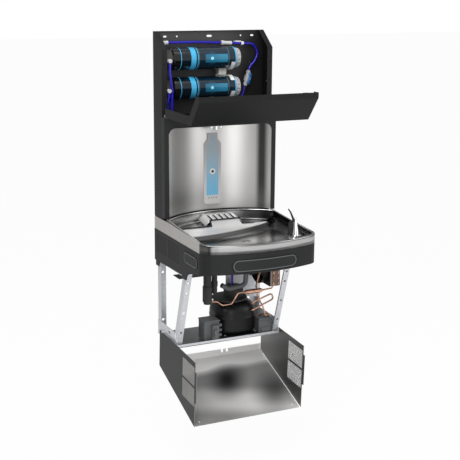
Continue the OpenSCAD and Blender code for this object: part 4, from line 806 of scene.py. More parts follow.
@dataclass(frozen=True)
class TwoFaced(Finish):
    """Sheet that is painted outside and left as brushed steel inside, with painted reflections and
    painted shade on the steel.
    """

    steel: Colour = (0.6, 0.59, 0.58)
    planes: tuple[tuple[Point, float], ...] = ()

    def build(self, g: Graph) -> bpy.types.Material:
        """Paint where the point lies beyond one of the outer planes, and painted light on the bare
        steel.

        Args:
            g: The node tree to build in.

        Returns:
            The material.
        """
        outside: Value | float = 0.0
        for normal, reach in self.planes:
            outside = (g.along(normal) > reach).top(outside)
        marks = g.brushed(Grain.ACROSS)
        cloud = g.noise(2.0, detail=1.0)
        x, y = g.axes("XY")
        # wall marks the inside of the right wall, which gets painted shade
        wall = x.fade(0.2275, 0.2290)
        # painted highlight along the fold between the sheet and the right wall
        fold_highlight = x.near(0.2258, 0.0018, 0.0010)
        u, v = x * 226.0 - y * 114.0, x * -43.0 - y * 170.0
        # painted reflections on the bare sheet: two dark spots, one of them the compressor, a bright
        # patch and a bright band
        spot = (u - 21.0).far(v - 29.0).drop(1.0, 27.0)
        second = (u - 70.0).far(v - 40.0).drop(1.0, 30.0)
        lit = (v + u * 0.22).drop(11.0, 27.0)
        band = v.near(50.0, 4.0, 12.0) * (1.0 - 0.5 * u.drop(-20.0, 25.0))
        # floor and glow carry the painted light of the bare steel
        floor = (0.34 + 1.6 * lit + 0.46 * band + 0.12 * u.fade(20.0, 50.0)) * (1.0 - 0.95 * spot)
        glow = (floor * (1.0 - 0.75 * second)).least(1.15) * (1.0 - wall)
        glow = glow + (0.09 + 0.20 * y.fade(-0.26, -0.04)) * wall + 1.1 * fold_highlight
        fine = g.noise(1200.0)
        steel = g.shade(self.steel, glow + 0.08 * (cloud - 0.5) + 0.07 * (marks - 0.5))
        paint = g.shade(self.colour, 0.92 + 0.14 * cloud + 0.08 * (fine - 0.5))
        bare = 1.0 - outside
        return g.finish(Base_Color=g.mix(outside, steel, paint), Metallic=0.25 * bare * (1.0 - lit),
                        Roughness=(0.3 + 0.16 * (marks - 0.5)) * bare + self.roughness * outside,
                        Normal=g.bump(marks * bare + fine * outside, 0.06, 0.0003))


@dataclass(frozen=True)
class Screen(Finish):
    """Finely perforated sheet: staggered round holes, cut through."""

    pitch: float = 0.0024
    hole: float = 0.0007

    def build(self, g: Graph) -> bpy.types.Material:
        """Two square grids of holes, one shifted by half a pitch.

        Args:
            g: The node tree to build in.

        Returns:
            The material.
        """
        def grid(shift: float) -> Value:
            """Distance to the nearest hole of one grid.

            Args:
                shift: How far the grid is moved, in pitches.

            Returns:
                The distance in metres.
            """
            u, v = ((((part + 10.0) / self.pitch + shift).part() - 0.5) * self.pitch
                    for part in g.axes("YZ"))
            return u.far(v)

        holes = grid(0.0).least(grid(0.5))
        cloud = g.noise(20.0)
        return g.finish(Base_Color=g.shade(self.colour, 0.9 + 0.2 * cloud), Metallic=0.8,
                        Roughness=self.roughness, Alpha=holes.fade(self.hole * 0.9, self.hole * 1.1))


class Dress:
    """The finishes of this station, by the piece that wears them."""

    OUTER = Powder("outer_paint", tone("#181819"), 0.46, Wear.USED)
    LOUVRE = Louvred("louvre_plastic", tone("#141515"), 0.46)
    PAN = PanZinc("pan_zinc", tone("#d6d8dc"), 0.36)
    # DEEP: a darker copy of the outer paint, painted shade for the right wall
    DEEP = Powder("right_wall_shaded_paint", tone("#101011"), 0.46)
    COVER = Powder("cover_paint", tone("#0b0c0c"), 0.46)
    INNER = BayPaint("bay_paint", tone("#3c3c3c"), 0.5)
    BLACK = Powder("black_paint", tone("#0d0d0e"), 0.45)
    BEZEL = Moulded("bezel_plastic", tone("#1b1c1d"), 0.42)
    SKIRT = Moulded("skirt_plastic", tone("#141515"), 0.46)
    BAR = Pad("bar_plastic", tone("#1b1c1d"), 0.44, 1500.0)
    PADS = Pad("pad_plastic", tone("#171819"), 0.44, 1500.0, 0.0, (0.063, 0.022), 0.020, -0.366,
               0.243, "Y")
    DARK = Moulded("dark_plastic", tone("#0d0e0e"), 0.4)
    WHITE = Moulded("white_plastic", tone("#efefeb"), 0.45)
    GREY = Moulded("fitting_plastic", tone("#bdbcbe"), 0.38)
    RIBBED = Moulded("grip_plastic", tone("#a9a7ab"), 0.4)
    RELAY = Moulded("relay_plastic", tone("#606264"), 0.5)
    LEVER = Moulded("lever_plastic", tone("#2f74b5"), 0.35, 900.0, 0.3)
    BAND = Moulded("band_print", tone("#41a6d3"), 0.3, 900.0, 0.4)
    RUBBER = Moulded("black_rubber", tone("#0c0c0d"), 0.55, 500.0)
    LENS = Moulded("sensor_glass", tone("#0b0b0c"), 0.12, 300.0, 0.6)
    LAMP = Moulded("lamp_plastic", tone("#3c4246"), 0.3, 300.0, 0.4)
    STEEL = BowlSteel("basin_steel", (0.84, 0.835, 0.83), 0.24, Grain.ACROSS, 0.04)
    BRIGHT = PlateSteel("strainer_steel", (0.94, 0.94, 0.93), 0.3, Grain.DEEP, 0.06, 0.15)
    LINER = LinerSteel("liner_steel", (0.80, 0.79, 0.78), 0.36, Grain.ACROSS, 0.09)
    CHROME = Polished("chrome_plate", (0.82, 0.83, 0.84), 0.05)
    ZINC = Zinc("zinc_sheet", tone("#d6d8dc"), 0.36)
    SCREWS = Polished("screw_zinc", tone("#c9cbcd"), 0.25)
    SHELL = Powder("compressor_paint", tone("#101112"), 0.34, Wear.USED)
    COPPER = Copper("copper_tube", (0.86, 0.50, 0.36), 0.26)
    FINS = Zinc("fin_metal", tone("#a59c93"), 0.42, 300.0)
    BLADES = Zinc("blade_metal", tone("#8d9196"), 0.4, 80.0)
    TUBE = Tubing("water_tube", (0.009, 0.004, 0.34), 0.32)
    HOSE = Moulded("drain_rubber", tone("#58595b"), 0.42, 700.0)
    CAPS = Speckle("end_cap_plastic", tone("#a9a6a3"), 0.5)
    WINDOW = BottlePrint("bottle_window", tone("#8b9ba6"), 0.3)
    UPPER = Cartridge("upper_cartridge", tone("#06121c"), 0.2, 0.950)
    LOWER = Cartridge("lower_cartridge", tone("#06121c"), 0.2, 0.838)
    SCREEN = Screen("vent_screen", tone("#9f9e9c"), 0.4)


NODE_FINISH: dict[str, Finish] = {node: finish for finish, nodes in (
    (Dress.INNER, "back_panel"), (Dress.OUTER, "side_wall_left"), (Dress.DEEP, "side_wall_right"),
    (Dress.BEZEL, "alcove_bezel"), (Dress.BLACK, "bay_floor fan_shroud"), (Dress.LINER, "alcove_liner"),
    (Dress.DARK, "alcove_ceiling filter_heads compressor_cap water_valves"),
    (Dress.WINDOW, "bottle_window"), (Dress.WHITE, "sensor_ring filter_saddles tube_clip"),
    (Dress.LENS, "sensor_lens"), (Dress.LAMP, "indicator_lights"),
    (Dress.CHROME, "fill_nozzle bubbler_body"), (Dress.UPPER, "filter_upper"),
    (Dress.LOWER, "filter_lower"), (Dress.BAND, "filter_bands_upper filter_bands_lower"),
    (Dress.RIBBED, "filter_grip_upper filter_grip_lower valve_body"), (Dress.TUBE, "water_tubes"),
    (Dress.GREY, "tube_fittings"), (Dress.LEVER, "valve_handle"), (Dress.SCREWS, "bay_screws"),
    (Dress.COVER, "upper_cover"),
    (Dress.ZINC, "cover_hinges deck_rails frame_posts front_posts component_plate"),
    (Dress.STEEL, "basin"), (Dress.BRIGHT, "strainer"), (Dress.CAPS, "end_cap_left end_cap_right"),
    (Dress.LOUVRE, "louvre_panel_left louvre_panel_right"), (Dress.SKIRT, "apron"),
    (Dress.BAR, "front_push_bar"), (Dress.PADS, "side_push_left side_push_right"),
    (Dress.RUBBER, "bubbler_guard"), (Dress.PAN, "base_pan"), (Dress.SHELL, "compressor fan_motor"),
    (Dress.RELAY, "relay_box control_box"), (Dress.FINS, "condenser"),
    (Dress.COPPER, "condenser_tubes copper_lines filter_drier"), (Dress.BLADES, "fan_blade"),
    (Dress.HOSE, "drain_hose"), (Dress.SCREEN, "shroud_vents")) for node in nodes.split()}


class Maker:
    """Turns plain lists of points and faces into pieces that ride on a body."""

    @staticmethod
    def piece(name: str, shape: Shape, finish: Finish, slot: str, node: str = "", angle: float = 35.0,
              body: str = "cabinet") -> bpy.types.Object:
        """Makes one mesh piece.

        Args:
            name: The piece's name.
            shape: Its corners in metres, and its faces as lists of corner numbers.
            finish: What it is dressed in.
            slot: The material slot of the record.
            node: The CAD node that it stands for, if any.
            angle: Edges sharper than this stay sharp.
            body: The body that it rides on.

        Returns:
            The new object.
        """
        mesh = bpy.data.meshes.new(name)
        mesh.from_pydata(shape[0], [], shape[1])
        mesh.validate()
        return Maker.place(bpy.data.objects.new(name, mesh), finish, slot, node, angle, body)

    @staticmethod
    def place(made: bpy.types.Object, finish: Finish, slot: str, node: str, angle: float,
              body: str) -> bpy.types.Object:
        """Links, smooths and dresses a mesh object, and lets it ride.

        Args:
            made: The mesh object.
            finish: What it is dressed in.
            slot: The record's material slot; not used.
            node: The CAD node that it stands for, if any.
            angle: Edges sharper than this stay sharp.
            body: The body that it rides on.

        Returns:
            The same object.
        """
        bpy.context.scene.collection.objects.link(made)
        mesh = made.data
        work = bmesh.new()
        work.from_mesh(mesh)
        bmesh.ops.recalc_face_normals(work, faces=work.faces)
        work.to_mesh(mesh)
        work.free()
        mesh.polygons.foreach_set("use_smooth", [True] * len(mesh.polygons))
        mesh.set_sharp_from_angle(angle=math.radians(angle))
        mesh.materials.clear()
        mesh.materials.append(finish.material())
        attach(made, body)
        if node:
            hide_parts(node)
        LOG.info("piece %s: %d faces", made.name, len(mesh.polygons))
        return made

    @staticmethod
    def thicken(made: bpy.types.Object, thick: float) -> None:
        """Gives a sheet its thickness in millimetres, below its top."""
        wall = made.modifiers.new("wall", "SOLIDIFY")
        wall.thickness, wall.offset = thick * MM, -1.0

    @staticmethod
    def rings(count: int, sides: int) -> list[list[int]]:
        """Faces that join rings of points, closed at both ends.

        Args:
            count: How many rings there are.
            sides: Points in a ring.

        Returns:
            The faces.
        """
        faces = [[i * sides + k, i * sides + (k + 1) % sides, (i + 1) * sides + (k + 1) % sides,
                  (i + 1) * sides + k] for i in range(count - 1) for k in range(sides)]
        last = (count - 1) * sides
        return faces + [list(range(sides))[::-1], [last + k for k in range(sides)]]

    @staticmethod
    def route(corners: Sequence[Point], bend: float, steps: int = 8) -> list[Vector]:
        """Rounds the corners of a tube's route.

        Args:
            corners: Corner points in millimetres, as in the part's source.
            bend: Bend radius in millimetres.
            steps: Pieces in each bend.

        Returns:
            Points along the route in metres.
        """
        spots = [Vector(c) for c in corners]
        path = [spots[0]]
        for a, b, c in zip(spots, spots[1:], spots[2:]):
            u, v = (a - b).normalized(), (c - b).normalized()
            half = u.angle(v) / 2
            centre = b + (u + v).normalized() * bend / math.sin(half)
            start = b + u * bend / math.tan(half)
            stop = b + v * bend / math.tan(half)
            e1 = (start - centre).normalized()
            e2 = (stop - centre - (stop - centre).dot(e1) * e1).normalized()
            turn = math.pi - 2 * half
            for i in range(steps + 1):
                t = turn * i / steps
                path.append(centre + bend * (math.cos(t) * e1 + math.sin(t) * e2))
        return [p * MM for p in path + [spots[-1]]]

    @staticmethod
    def sweep(path: Sequence[Vector], radius: float, sides: int = 20, taper: float = 0.0) -> Shape:
        """Sweeps a round section along a path, closed at both ends.

        Args:
            path: Points along the middle in metres.
            radius: Its radius in millimetres at the start.
            sides: Corners of the section.
            taper: How much smaller the radius is at the end.

        Returns:
            The points and the faces.
        """
        points: list[Vector] = []
        steep = abs((path[1] - path[0]).normalized().z) >= 0.9
        normal = Vector((0, 1, 0)) if steep else Vector((0, 0, 1))
        for i, spot in enumerate(path):
            t = (path[min(i + 1, len(path) - 1)] - path[max(i - 1, 0)]).normalized()
            normal = (normal - normal.dot(t) * t).normalized()
            side = t.cross(normal)
            r = (radius - taper * (i / (len(path) - 1))) * MM
            for k in range(sides):
                a = 2 * math.pi * k / sides
                points.append(spot + r * (math.cos(a) * normal + math.sin(a) * side))
        return points, Maker.rings(len(path), sides)

    @staticmethod
    def lathe(profile: Sequence[tuple[float, float]], centre: Point, sides: int = 48) -> Shape:
        """Turns a profile of radius and height round an upright axis.

        Args:
            profile: Radius and height pairs in millimetres, from the bottom up.
            centre: The axis' foot in millimetres.
            sides: Corners round the axis.

        Returns:
            The points and the faces.
        """
        points = [Vector((centre[0] + r * math.cos(2 * math.pi * k / sides),
                          centre[1] + r * math.sin(2 * math.pi * k / sides), centre[2] + h)) * MM
                  for r, h in profile for k in range(sides)]
        return points, Maker.rings(len(profile), sides)


@dataclass
class Opened:
    """How the lower shroud swings from closed to open."""

    tilt: float = 93.0
    hinge: tuple[float, float] = (-62.0, -132.0)

    def turn(self, y: float, z: float) -> tuple[float, float]:
        """Turns a direction of the closed shroud."""
        a = math.radians(self.tilt)
        return y * math.cos(a) - z * math.sin(a), y * math.sin(a) + z * math.cos(a)

    def spot(self, x: float, y: float, z: float) -> Vector:
        """Swings a point of the closed shroud open, from millimetres to metres."""
        dy, dz = self.turn(y - self.hinge[0], z - self.hinge[1])
        return Vector((x, self.hinge[0] + dy, self.hinge[1] + dz)) * MM


@dataclass
class CadDress:
    """Dresses the CAD nodes that stay in view."""

    shroud_half: float = 0.23075
    face: tuple[float, float] = (105.0, 365.0)
    foot: tuple[float, float] = (-215.0, -158.0)
    skin: float = 0.0006

    def shroud(self) -> TwoFaced:
        """Paint outside and steel inside, from the planes of the opened shroud.

        Returns:
            The finish of the lower shroud.
        """
        opened = Opened()
        slope = math.atan2(*self.face)
        turned = Vector((0.0, *opened.turn(-math.cos(slope), -math.sin(slope))))
        reach = turned.dot(opened.spot(0.0, *self.foot)) - self.skin
        return TwoFaced("shroud_sheet", tone("#151616"), 0.46, (0.86, 0.85, 0.84),
                        (((1.0, 0.0, 0.0), self.shroud_half), ((-1.0, 0.0, 0.0), self.shroud_half),
                         (tuple(turned), reach)))

    def build(self) -> None:
        """Gives every CAD node its finish."""
        finishes = dict(NODE_FINISH)
        finishes["lower_shroud"] = self.shroud()
        for name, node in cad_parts.items():
            node.data.materials.clear()
            node.data.materials.append(finishes[name].material())
            LOG.info("node %s wears %s", name, finishes[name].name)


@dataclass
class Plumbing:
    """Blue tubes and copper lines as smooth sweeps."""

    tube_r: float = 4.8
    tube_bend: float = 16.0
    wide_bend: float = 30.0
    copper_r: float = 3.2
    copper_bend: float = 9.0
    tubes: dict[str, list[Point]] = field(default_factory=lambda: {
        "supply_tube": [(90, -14, 1004), (186, -14, 1000), (208, -14, 962), (190, -18, 930),
                        (167, -22, 910), (163, -22, 896)],
        "left_tube": [(45, -14, 1006), (-60, -14, 1010), (-181, -20, 1010)],
        "inlet_tube": [(146, -22, 836), (137.5, -22, 806), (124, -22, 780), (122, -22, 650),
                       (20, -18, 540), (20, -18, 240), (20, -34, 190), (20, -34, 120)],
        "outlet_tube": [(-200, -88, 938), (-200, -88, 905), (-190, -88, 830), (-190, -78, 700),
                        (-190, -78, 238), (-84, -178, 200), (-84, -178, 128.8)],
        "link_tube": [(-203.5, -88, 826), (-203.5, -88, 808), (-206, -78, 780), (-206, -78, 290),
                      (-190, -56, 260), (-80, -56, 236), (-50, -110, 200), (-50, -170, 180),
                      (-50, -170, 128.8)],
        "nozzle_tube": [(0, -67, 700), (0, -67, 718), (0, -18, 718), (0, -18, 240), (38, -60, 205),
                        (56, -108, 160), (56, -108, 42.3)],
    })
    copper: dict[str, list[Point]] = field(default_factory=lambda: {
        "drier_lead": [(-68.7, -178, 9), (-42, -180, 6), (-24, -192, -8), (16, -192, -6),
                       (44, -190, 34), (66, -190, 34)],
        "drier_tail": [(157.5, -190, 34), (196, -194, 38), (196, -194, 55.7)],
        "hairpin": [(104, -185, -46), (106, -194, -44), (200, -194, -8), (192, -194, 16),
                    (110, -192, -12), (110, -186, -24), (109, -169, -23)],
        "riser": [(191, -226.3, 165), (191, -242, 165), (140, -240, 165), (134, -197, 104),
                  (134, -170, 50), (142, -170, 0), (160, -182, -40), (172, -182, -79), (198, -180, -80),
                  (196, -136, -84), (170, -116, -100), (148.3, -116, -104)],
    })

    def build(self) -> None:
        """Makes every line and lets them stand for the CAD tubes."""
        for lines, r, bend, finish, slot, node in (
                (self.tubes, self.tube_r, self.tube_bend, Dress.TUBE, "tube_blue", "water_tubes"),
                (self.copper, self.copper_r, self.copper_bend, Dress.COPPER, "copper", "copper_lines")):
            for name, corners in lines.items():
                path = Maker.route(corners, self.wide_bend if name == "supply_tube" else bend)
                Maker.piece(name, Maker.sweep(path, r), finish, slot, node)


@dataclass
class BasinDeck:
    """The pressed steel basin as one smooth sheet."""

    half: float = 235.0
    cut_half: float = 230.7
    cut_y: float = -444.4
    side_x: float = 234.9
    liner_x: float = 218.6
    bow_r: float = 637.0
    bow_y: float = 116.0
    corner_r: float = 50.0
    rear_y: float = -121.0
    liner_y: float = -360.9
    liner_r: float = 327.6
    rim_rear: float = 346.0
    rim_slope: float = 0.0625
    rim_w: float = 10.0
    band_z: float = 289.0
    ridge_drop: float = 22.0
    front_floor: float = 289.3
    rear_floor: float = 304.3
    ridge: Point = (-215.0, 521.0, 834.0)
    middle: tuple[float, float] = (0.0, -300.0)
    drain: Point = (0.0, -350.0, 16.0)
    boss: Point = (146.0, -462.0, 24.0)
    boss_z: float = 319.8
    bowl_y: float = -191.0
    tab_y: float = -123.0
    tab_lean: float = 0.36
    thick: float = 1.6
    tail_z: float = 260.9
    bead_up: float = 1.6
    grid_r: tuple[float, ...] = (3.0, 5.0, 8.0, 10.0, 13.0, 15.5)
    spokes: int = 24
    rays: int = 560
    inner: int = 120

    def rim_z(self, y: float) -> float:
        """Height of the rim plane."""
        return self.rim_rear + min(0.0, y - self.rear_y) * self.rim_slope

    def inset(self, x: float, y: float) -> float:
        """How far a point lies inside the station's outline.

        Args:
            x: Across, in millimetres.
            y: Depth, in millimetres.

        Returns:
            The distance, negative outside.
        """
        cx = self.half - self.corner_r
        cy = self.bow_y - math.sqrt((self.bow_r - self.corner_r) ** 2 - cx * cx)
        side = self.half - abs(x)
        bow = self.bow_r - math.hypot(x, y - self.bow_y)
        ax = abs(x)
        if y < cy and ax > cx and (ax - cx) * (self.bow_y - cy) > cx * (cy - y):
            side = self.corner_r - math.hypot(ax - cx, y - cy)
        elif y < cy:
            side = bow
        rear = max(self.rear_y - y, self.liner_r - math.hypot(x, y - self.liner_y))
        return min(side, rear)

    def ray(self, angle: float, r: float) -> tuple[float, float]:
        """The point at a distance from the middle."""
        return self.middle[0] + r * math.cos(angle), self.middle[1] + r * math.sin(angle)

    def reach(self, angle: float, want: float) -> float:
        """Distance along a ray from the middle to where the inset is the wanted one.

        Args:
            angle: The ray's angle.
            want: The wanted inset.

        Returns:
            The distance in millimetres.
        """
        low, high = 0.0, 600.0
        for _ in range(40):
            mid = (low + high) / 2
            low, high = (mid, high) if self.inset(*self.ray(angle, mid)) > want else (low, mid)
        return low

    @staticmethod
    def soft_min(a: float, b: float, k: float) -> float:
        """The smaller of two heights with a fillet of about k."""
        h = max(k - abs(a - b), 0.0) / k
        return min(a, b) - h * h * k / 4

    @staticmethod
    def soft_max(a: float, b: float, k: float) -> float:
        """The greater of two heights with a fillet of about k."""
        return -BasinDeck.soft_min(-a, -b, k)

    @staticmethod
    def step(v: float, low: float, high: float) -> float:
        """Smooth step from 0 at low to 1 at high."""
        t = min(1.0, max(0.0, (v - low) / (high - low)))
        return t * t * (3.0 - 2.0 * t)

    def height(self, x: float, y: float, d: float) -> float:
        """Height of the sheet's top inside the rim.

        Args:
            x: Across.
            y: Depth.
            d: Inset of that point.

        Returns:
            The height in millimetres.
        """
        rim = self.rim_z(y)
        wall = rim - max(0.0, d - self.rim_w) * 9.0
        deck = self.soft_max(wall, rim - self.ridge_drop, 5.0)
        deck = self.soft_min(deck, rim, 3.0)
        rho = math.hypot(x - self.ridge[0], y - self.ridge[1])
        outer = self.rim_rear - (d - 16.0) / 36.0 * 57.0
        inner = 287.0 + (self.ridge[2] - rho) / 36.0 * 59.0
        front = self.soft_max(outer, inner, 14.0)
        front = self.soft_max(front, self.front_floor + 0.012 * math.hypot(x, y + 350.0), 16.0)
        lean = self.rim_rear - (self.liner_r - 10.0 - math.hypot(x, y - self.liner_y)) * 10.5
        sides = self.rim_rear - (219.0 - abs(x)) * 3.0
        lean_x = x - (y - self.tab_y) * self.tab_lean
        tab = self.step(lean_x, -53.0, -45.0) * (1.0 - self.step(lean_x, 74.0, 84.0))
        fore = 304.0 + (self.bowl_y + (self.tab_y - self.bowl_y) * tab - y) * (1.75 + 5.0 * tab)
        rear = self.soft_max(self.soft_max(lean, sides, 6.0), fore, 8.0)
        rear = self.soft_max(rear, self.rear_floor, 10.0)
        z = self.soft_min(self.soft_min(deck, front, 7.0), rear, 7.0)
        away = math.hypot(x - self.boss[0], y - self.boss[1])
        if away < self.boss[2] + 14.0:
            flank = self.boss_z - max(0.0, away - self.boss[2] + 2.0) * 4.0
            z = max(z, self.soft_max(z, flank, 4.0))
        away = math.hypot(x - self.drain[0], y - self.drain[1])
        if away < self.drain[2] + 10.0:
            z -= 2.4 * (1.0 - min(1.0, max(0.0, (away - self.drain[2]) / 8.0))) ** 2
        return z

    def angles(self) -> list[float]:
        """Ray angles, with one on each corner of the outline.

        Returns:
            The angles in order.
        """
        marks = []
        for sx in (-1, 1):
            for x, y in ((self.cut_half, self.cut_y), (self.side_x, self.cut_y),
                         (self.cut_half, self.rear_y), (self.liner_x, self.rear_y)):
                marks.append(math.atan2(y - self.middle[1], sx * x - self.middle[0]) % (2 * math.pi))
        even = [2 * math.pi * i / self.rays for i in range(self.rays)]
        kept = [a for a in even if min(abs(a - m) for m in marks) > 0.004]
        return sorted(kept + marks)

    def start(self, angle: float) -> float:
        """Inset at which the sheet begins on that ray, where the end caps cut it.

        Args:
            angle: The ray's angle.

        Returns:
            The inset in millimetres.
        """
        x, y = self.ray(angle, self.reach(angle, 0.0))
        if abs(x) > self.cut_half and y > self.cut_y:
            return self.half - self.cut_half
        return 0.0

    def sheet(self) -> Shape:
        """Points in metres and faces of the sheet's top and its outer band.

        Returns:
            The points and the faces.
        """
        roll = 2.6
        edge = [(0.0, None), (0.0, -roll), (0.25, -1.55), (0.76, -0.76), (1.55, -0.25), (roll, 0.0)]
        fine = [4.4, 6.2, 7.6, 8.6, 9.3, 9.8, 10.2, 10.6, 11.0, 11.5, 12.0, 12.6, 13.3, 14.2, 15.4]
        points: list[Vector] = []
        angles = self.angles()
        rows = len(edge) + len(fine) + self.inner
        for angle in angles:
            begin = self.start(angle)
            share = (self.rim_w - begin) / self.rim_w
            for inset, drop in edge:
                x, y = self.ray(angle, self.reach(angle, begin + inset * share))
                z = self.band_z if drop is None else self.rim_z(y) + drop
                points.append(Vector((x, y, z)) * MM)
            for inset in fine:
                d = begin + inset * share if inset < self.rim_w else inset
                x, y = self.ray(angle, self.reach(angle, d))
                points.append(Vector((x, y, self.height(x, y, d))) * MM)
            inner = self.reach(angle, fine[-1])
            for i in range(1, self.inner + 1):
                x, y = self.ray(angle, inner * (1.0 - i / (self.inner + 1)))
                points.append(Vector((x, y, self.height(x, y, self.inset(x, y)))) * MM)
        x, y = self.middle
        points.append(Vector((x, y, self.height(x, y, self.inset(x, y)))) * MM)
        faces = []
        count = len(angles)
        for i in range(count):
            j = (i + 1) % count
            faces += [[i * rows + k, j * rows + k, j * rows + k + 1, i * rows + k + 1]
                      for k in range(rows - 1)]
            faces.append([i * rows + rows - 1, j * rows + rows - 1, len(points) - 1])
        return points, faces

    def build(self) -> None:
        """Makes the sheet, its waste tail, the waste grid and the beads."""
        sheet = Maker.piece("basin_sheet", self.sheet(), Dress.STEEL, "stainless", "basin", 50.0)
        Maker.thicken(sheet, self.thick)
        x, y, r = self.drain
        tail = Maker.lathe([(r + 2.5, 0.0), (r + 2.5, 26.0)], (x, y, self.tail_z))
        Maker.piece("waste_tail", tail, Dress.STEEL, "stainless", "basin")
        self.grid()
        self.seals()

    def seals(self) -> None:
        """Makes the black beads along the ridge's rear edge and the liner's foot."""
        edge = [(-206.0, -201.5), (-78.0, -201.5), (-50.0, -127.0), (80.0, -127.0)]
        short = [(64.0, -201.5), (110.0, -201.5)]
        for name, line, r in (("ridge_bead", edge, 3.4), ("ridge_bead_right", short, 2.0)):
            corners = [(x, y, self.rim_z(y) - self.ridge_drop + self.bead_up) for x, y in line]
            self.bead(name, Maker.route(corners, 3.0, 4), r)
        r, up = self.liner_r - 2.6, self.rim_rear + self.bead_up
        turns = [-0.715 + 1.43 * i / 60 for i in range(61)]
        arc = [Vector((r * math.sin(a), self.liner_y + r * math.cos(a), up)) * MM for a in turns]
        self.bead("liner_bead", arc, 2.2)

    @staticmethod
    def bead(name: str, path: list[Vector], r: float) -> None:
        """Makes one round bead along a path in metres."""
        shape = Maker.sweep(path, r, 12)
        Maker.piece(name, shape, Dress.RUBBER, "black_rubber", "basin", 60.0)

    def grid(self) -> None:
        """Makes the round waste grid with its slots."""
        x, y, _ = self.drain
        top = self.front_floor - 1.0
        count = self.spokes
        turns = [2 * math.pi * k / count for k in range(count)]
        points = [Vector((x + r * math.cos(a), y + r * math.sin(a), top)) * MM
                  for r in self.grid_r for a in turns]
        points.append(Vector((x, y, top)) * MM)
        faces = []
        for k in range(count):
            n = (k + 1) % count
            faces.append([len(points) - 1, k, n])
            faces += [[i * count + k, (i + 1) * count + k, (i + 1) * count + n, i * count + n]
                      for i in range(len(self.grid_r) - 1) if i not in (1, 3) or k % 4 == 0]
        made = Maker.piece("waste_grid", (points, faces), Dress.STEEL, "stainless_bright")
        Maker.thicken(made, 1.0)


@dataclass
class Compressor:
    """Welded compressor shell with its seam, plate, feet and stepped cap."""

    x: float = 58.0
    y: float = -106.0
    foot_z: float = -143.5
    half_x: float = 89.0
    half_y: float = 81.0
    height: float = 134.0
    power: float = 2.7
    foot_dx: float = 68.0
    foot_dy: float = 76.0
    disc_at: Point = (44.0, -108.0, -9.2)
    neck_at: Point = (62.0, -108.0, -0.2)

    def ring(self, grow: float, z: float, sides: int) -> list[Vector]:
        """One rounded-square section of the shell.

        Args:
            grow: Added to its half sizes.
            z: Its height over the foot.
            sides: Points round it.

        Returns:
            The section's points.
        """
        out = []
        for k in range(sides):
            a = 2 * math.pi * k / sides
            c, s = math.cos(a), math.sin(a)
            px = math.copysign(abs(c) ** (2 / self.power), c) * (self.half_x + grow)
            py = math.copysign(abs(s) ** (2 / self.power), s) * (self.half_y + grow)
            out.append(Vector((self.x + px, self.y + py, self.foot_z + z)) * MM)
        return out

    def shell(self) -> None:
        """Makes the domed shell with its weld seam."""
        h = self.height
        profile = [(-16.0, 0.2), (-8.0, 1.6), (-3.0, 6.0), (-0.8, 12.0), (0.0, 20.0), (0.0, 63.0),
                   (0.3, 65.0), (0.9, 66.0), (0.9, 69.0), (0.3, 70.0), (-0.3, 72.0), (-0.4, 82.0),
                   (-1.2, 92.0), (-3.6, 102.0), (-7.6, 111.0), (-13.5, 119.0), (-21.0, 125.5),
                   (-30.0, 130.0), (-41.0, 132.8), (-54.0, h - 0.3), (-68.0, h)]
        sides = 96
        points = [p for grow, z in profile for p in self.ring(grow, z, sides)]
        Maker.piece("compressor_shell", (points, Maker.rings(len(profile), sides)), Dress.SHELL,
                    "compressor_black", "compressor", 60.0)

    def base(self) -> None:
        """Makes the mounting plate, the rubber feet and their bolts."""
        lo = (self.x - self.foot_dx, self.y - self.foot_dy - 9.0)
        hi = (self.x + self.foot_dx, self.y + self.foot_dy + 9.0)
        corners = [Vector((x, y, z)) * MM for z in (self.foot_z, self.foot_z + 2.0)
                   for x, y in ((lo[0], lo[1]), (hi[0], lo[1]), (hi[0], hi[1]), (lo[0], hi[1]))]
        Maker.piece("compressor_plate", (corners, Maker.rings(2, 4)), Dress.SHELL, "compressor_black",
                    "compressor")
        bush = [(6.0, -9.0), (8.6, -8.6), (9.0, -7.0), (7.6, -4.5), (9.0, -2.0), (9.0, 2.2),
                (9.8, 2.4), (9.8, 3.0)]
        bolt = [(4.0, 3.0), (4.0, 7.6), (3.4, 8.0)]
        for i, (sx, sy) in enumerate(((-1, -1), (1, -1), (-1, 1), (1, 1))):
            spot = (self.x + sx * self.foot_dx, self.y + sy * self.foot_dy, self.foot_z)
            Maker.piece(f"compressor_bush_{i}", Maker.lathe(bush, spot, 32), Dress.RUBBER,
                        "black_rubber", "compressor")
            Maker.piece(f"compressor_bolt_{i}", Maker.lathe(bolt, spot, 6), Dress.SCREWS, "zinc",
                        angle=20.0)

    def cap(self) -> None:
        """Makes the stepped cap over the shell, with rounded edges."""
        disc = [(66.0, 0.0), (68.6, 0.5), (70.6, 1.8), (71.8, 3.6), (72.0, 5.4), (71.2, 7.2),
                (69.0, 8.5), (66.0, 9.0)]
        neck = [(40.0, 0.0), (40.0, 31.0), (39.7, 35.0), (38.8, 38.2), (37.4, 40.4), (35.2, 41.8),
                (32.0, 42.2)]
        for name, shape in (("cap_disc", Maker.lathe(disc, self.disc_at, 96)),
                            ("cap_neck", Maker.lathe(neck, self.neck_at, 72))):
            Maker.piece(name, shape, Dress.DARK, "black_plastic", "compressor_cap", 60.0)

    def build(self) -> None:
        """Makes the compressor with its cap."""
        self.shell()
        self.base()
        self.cap()


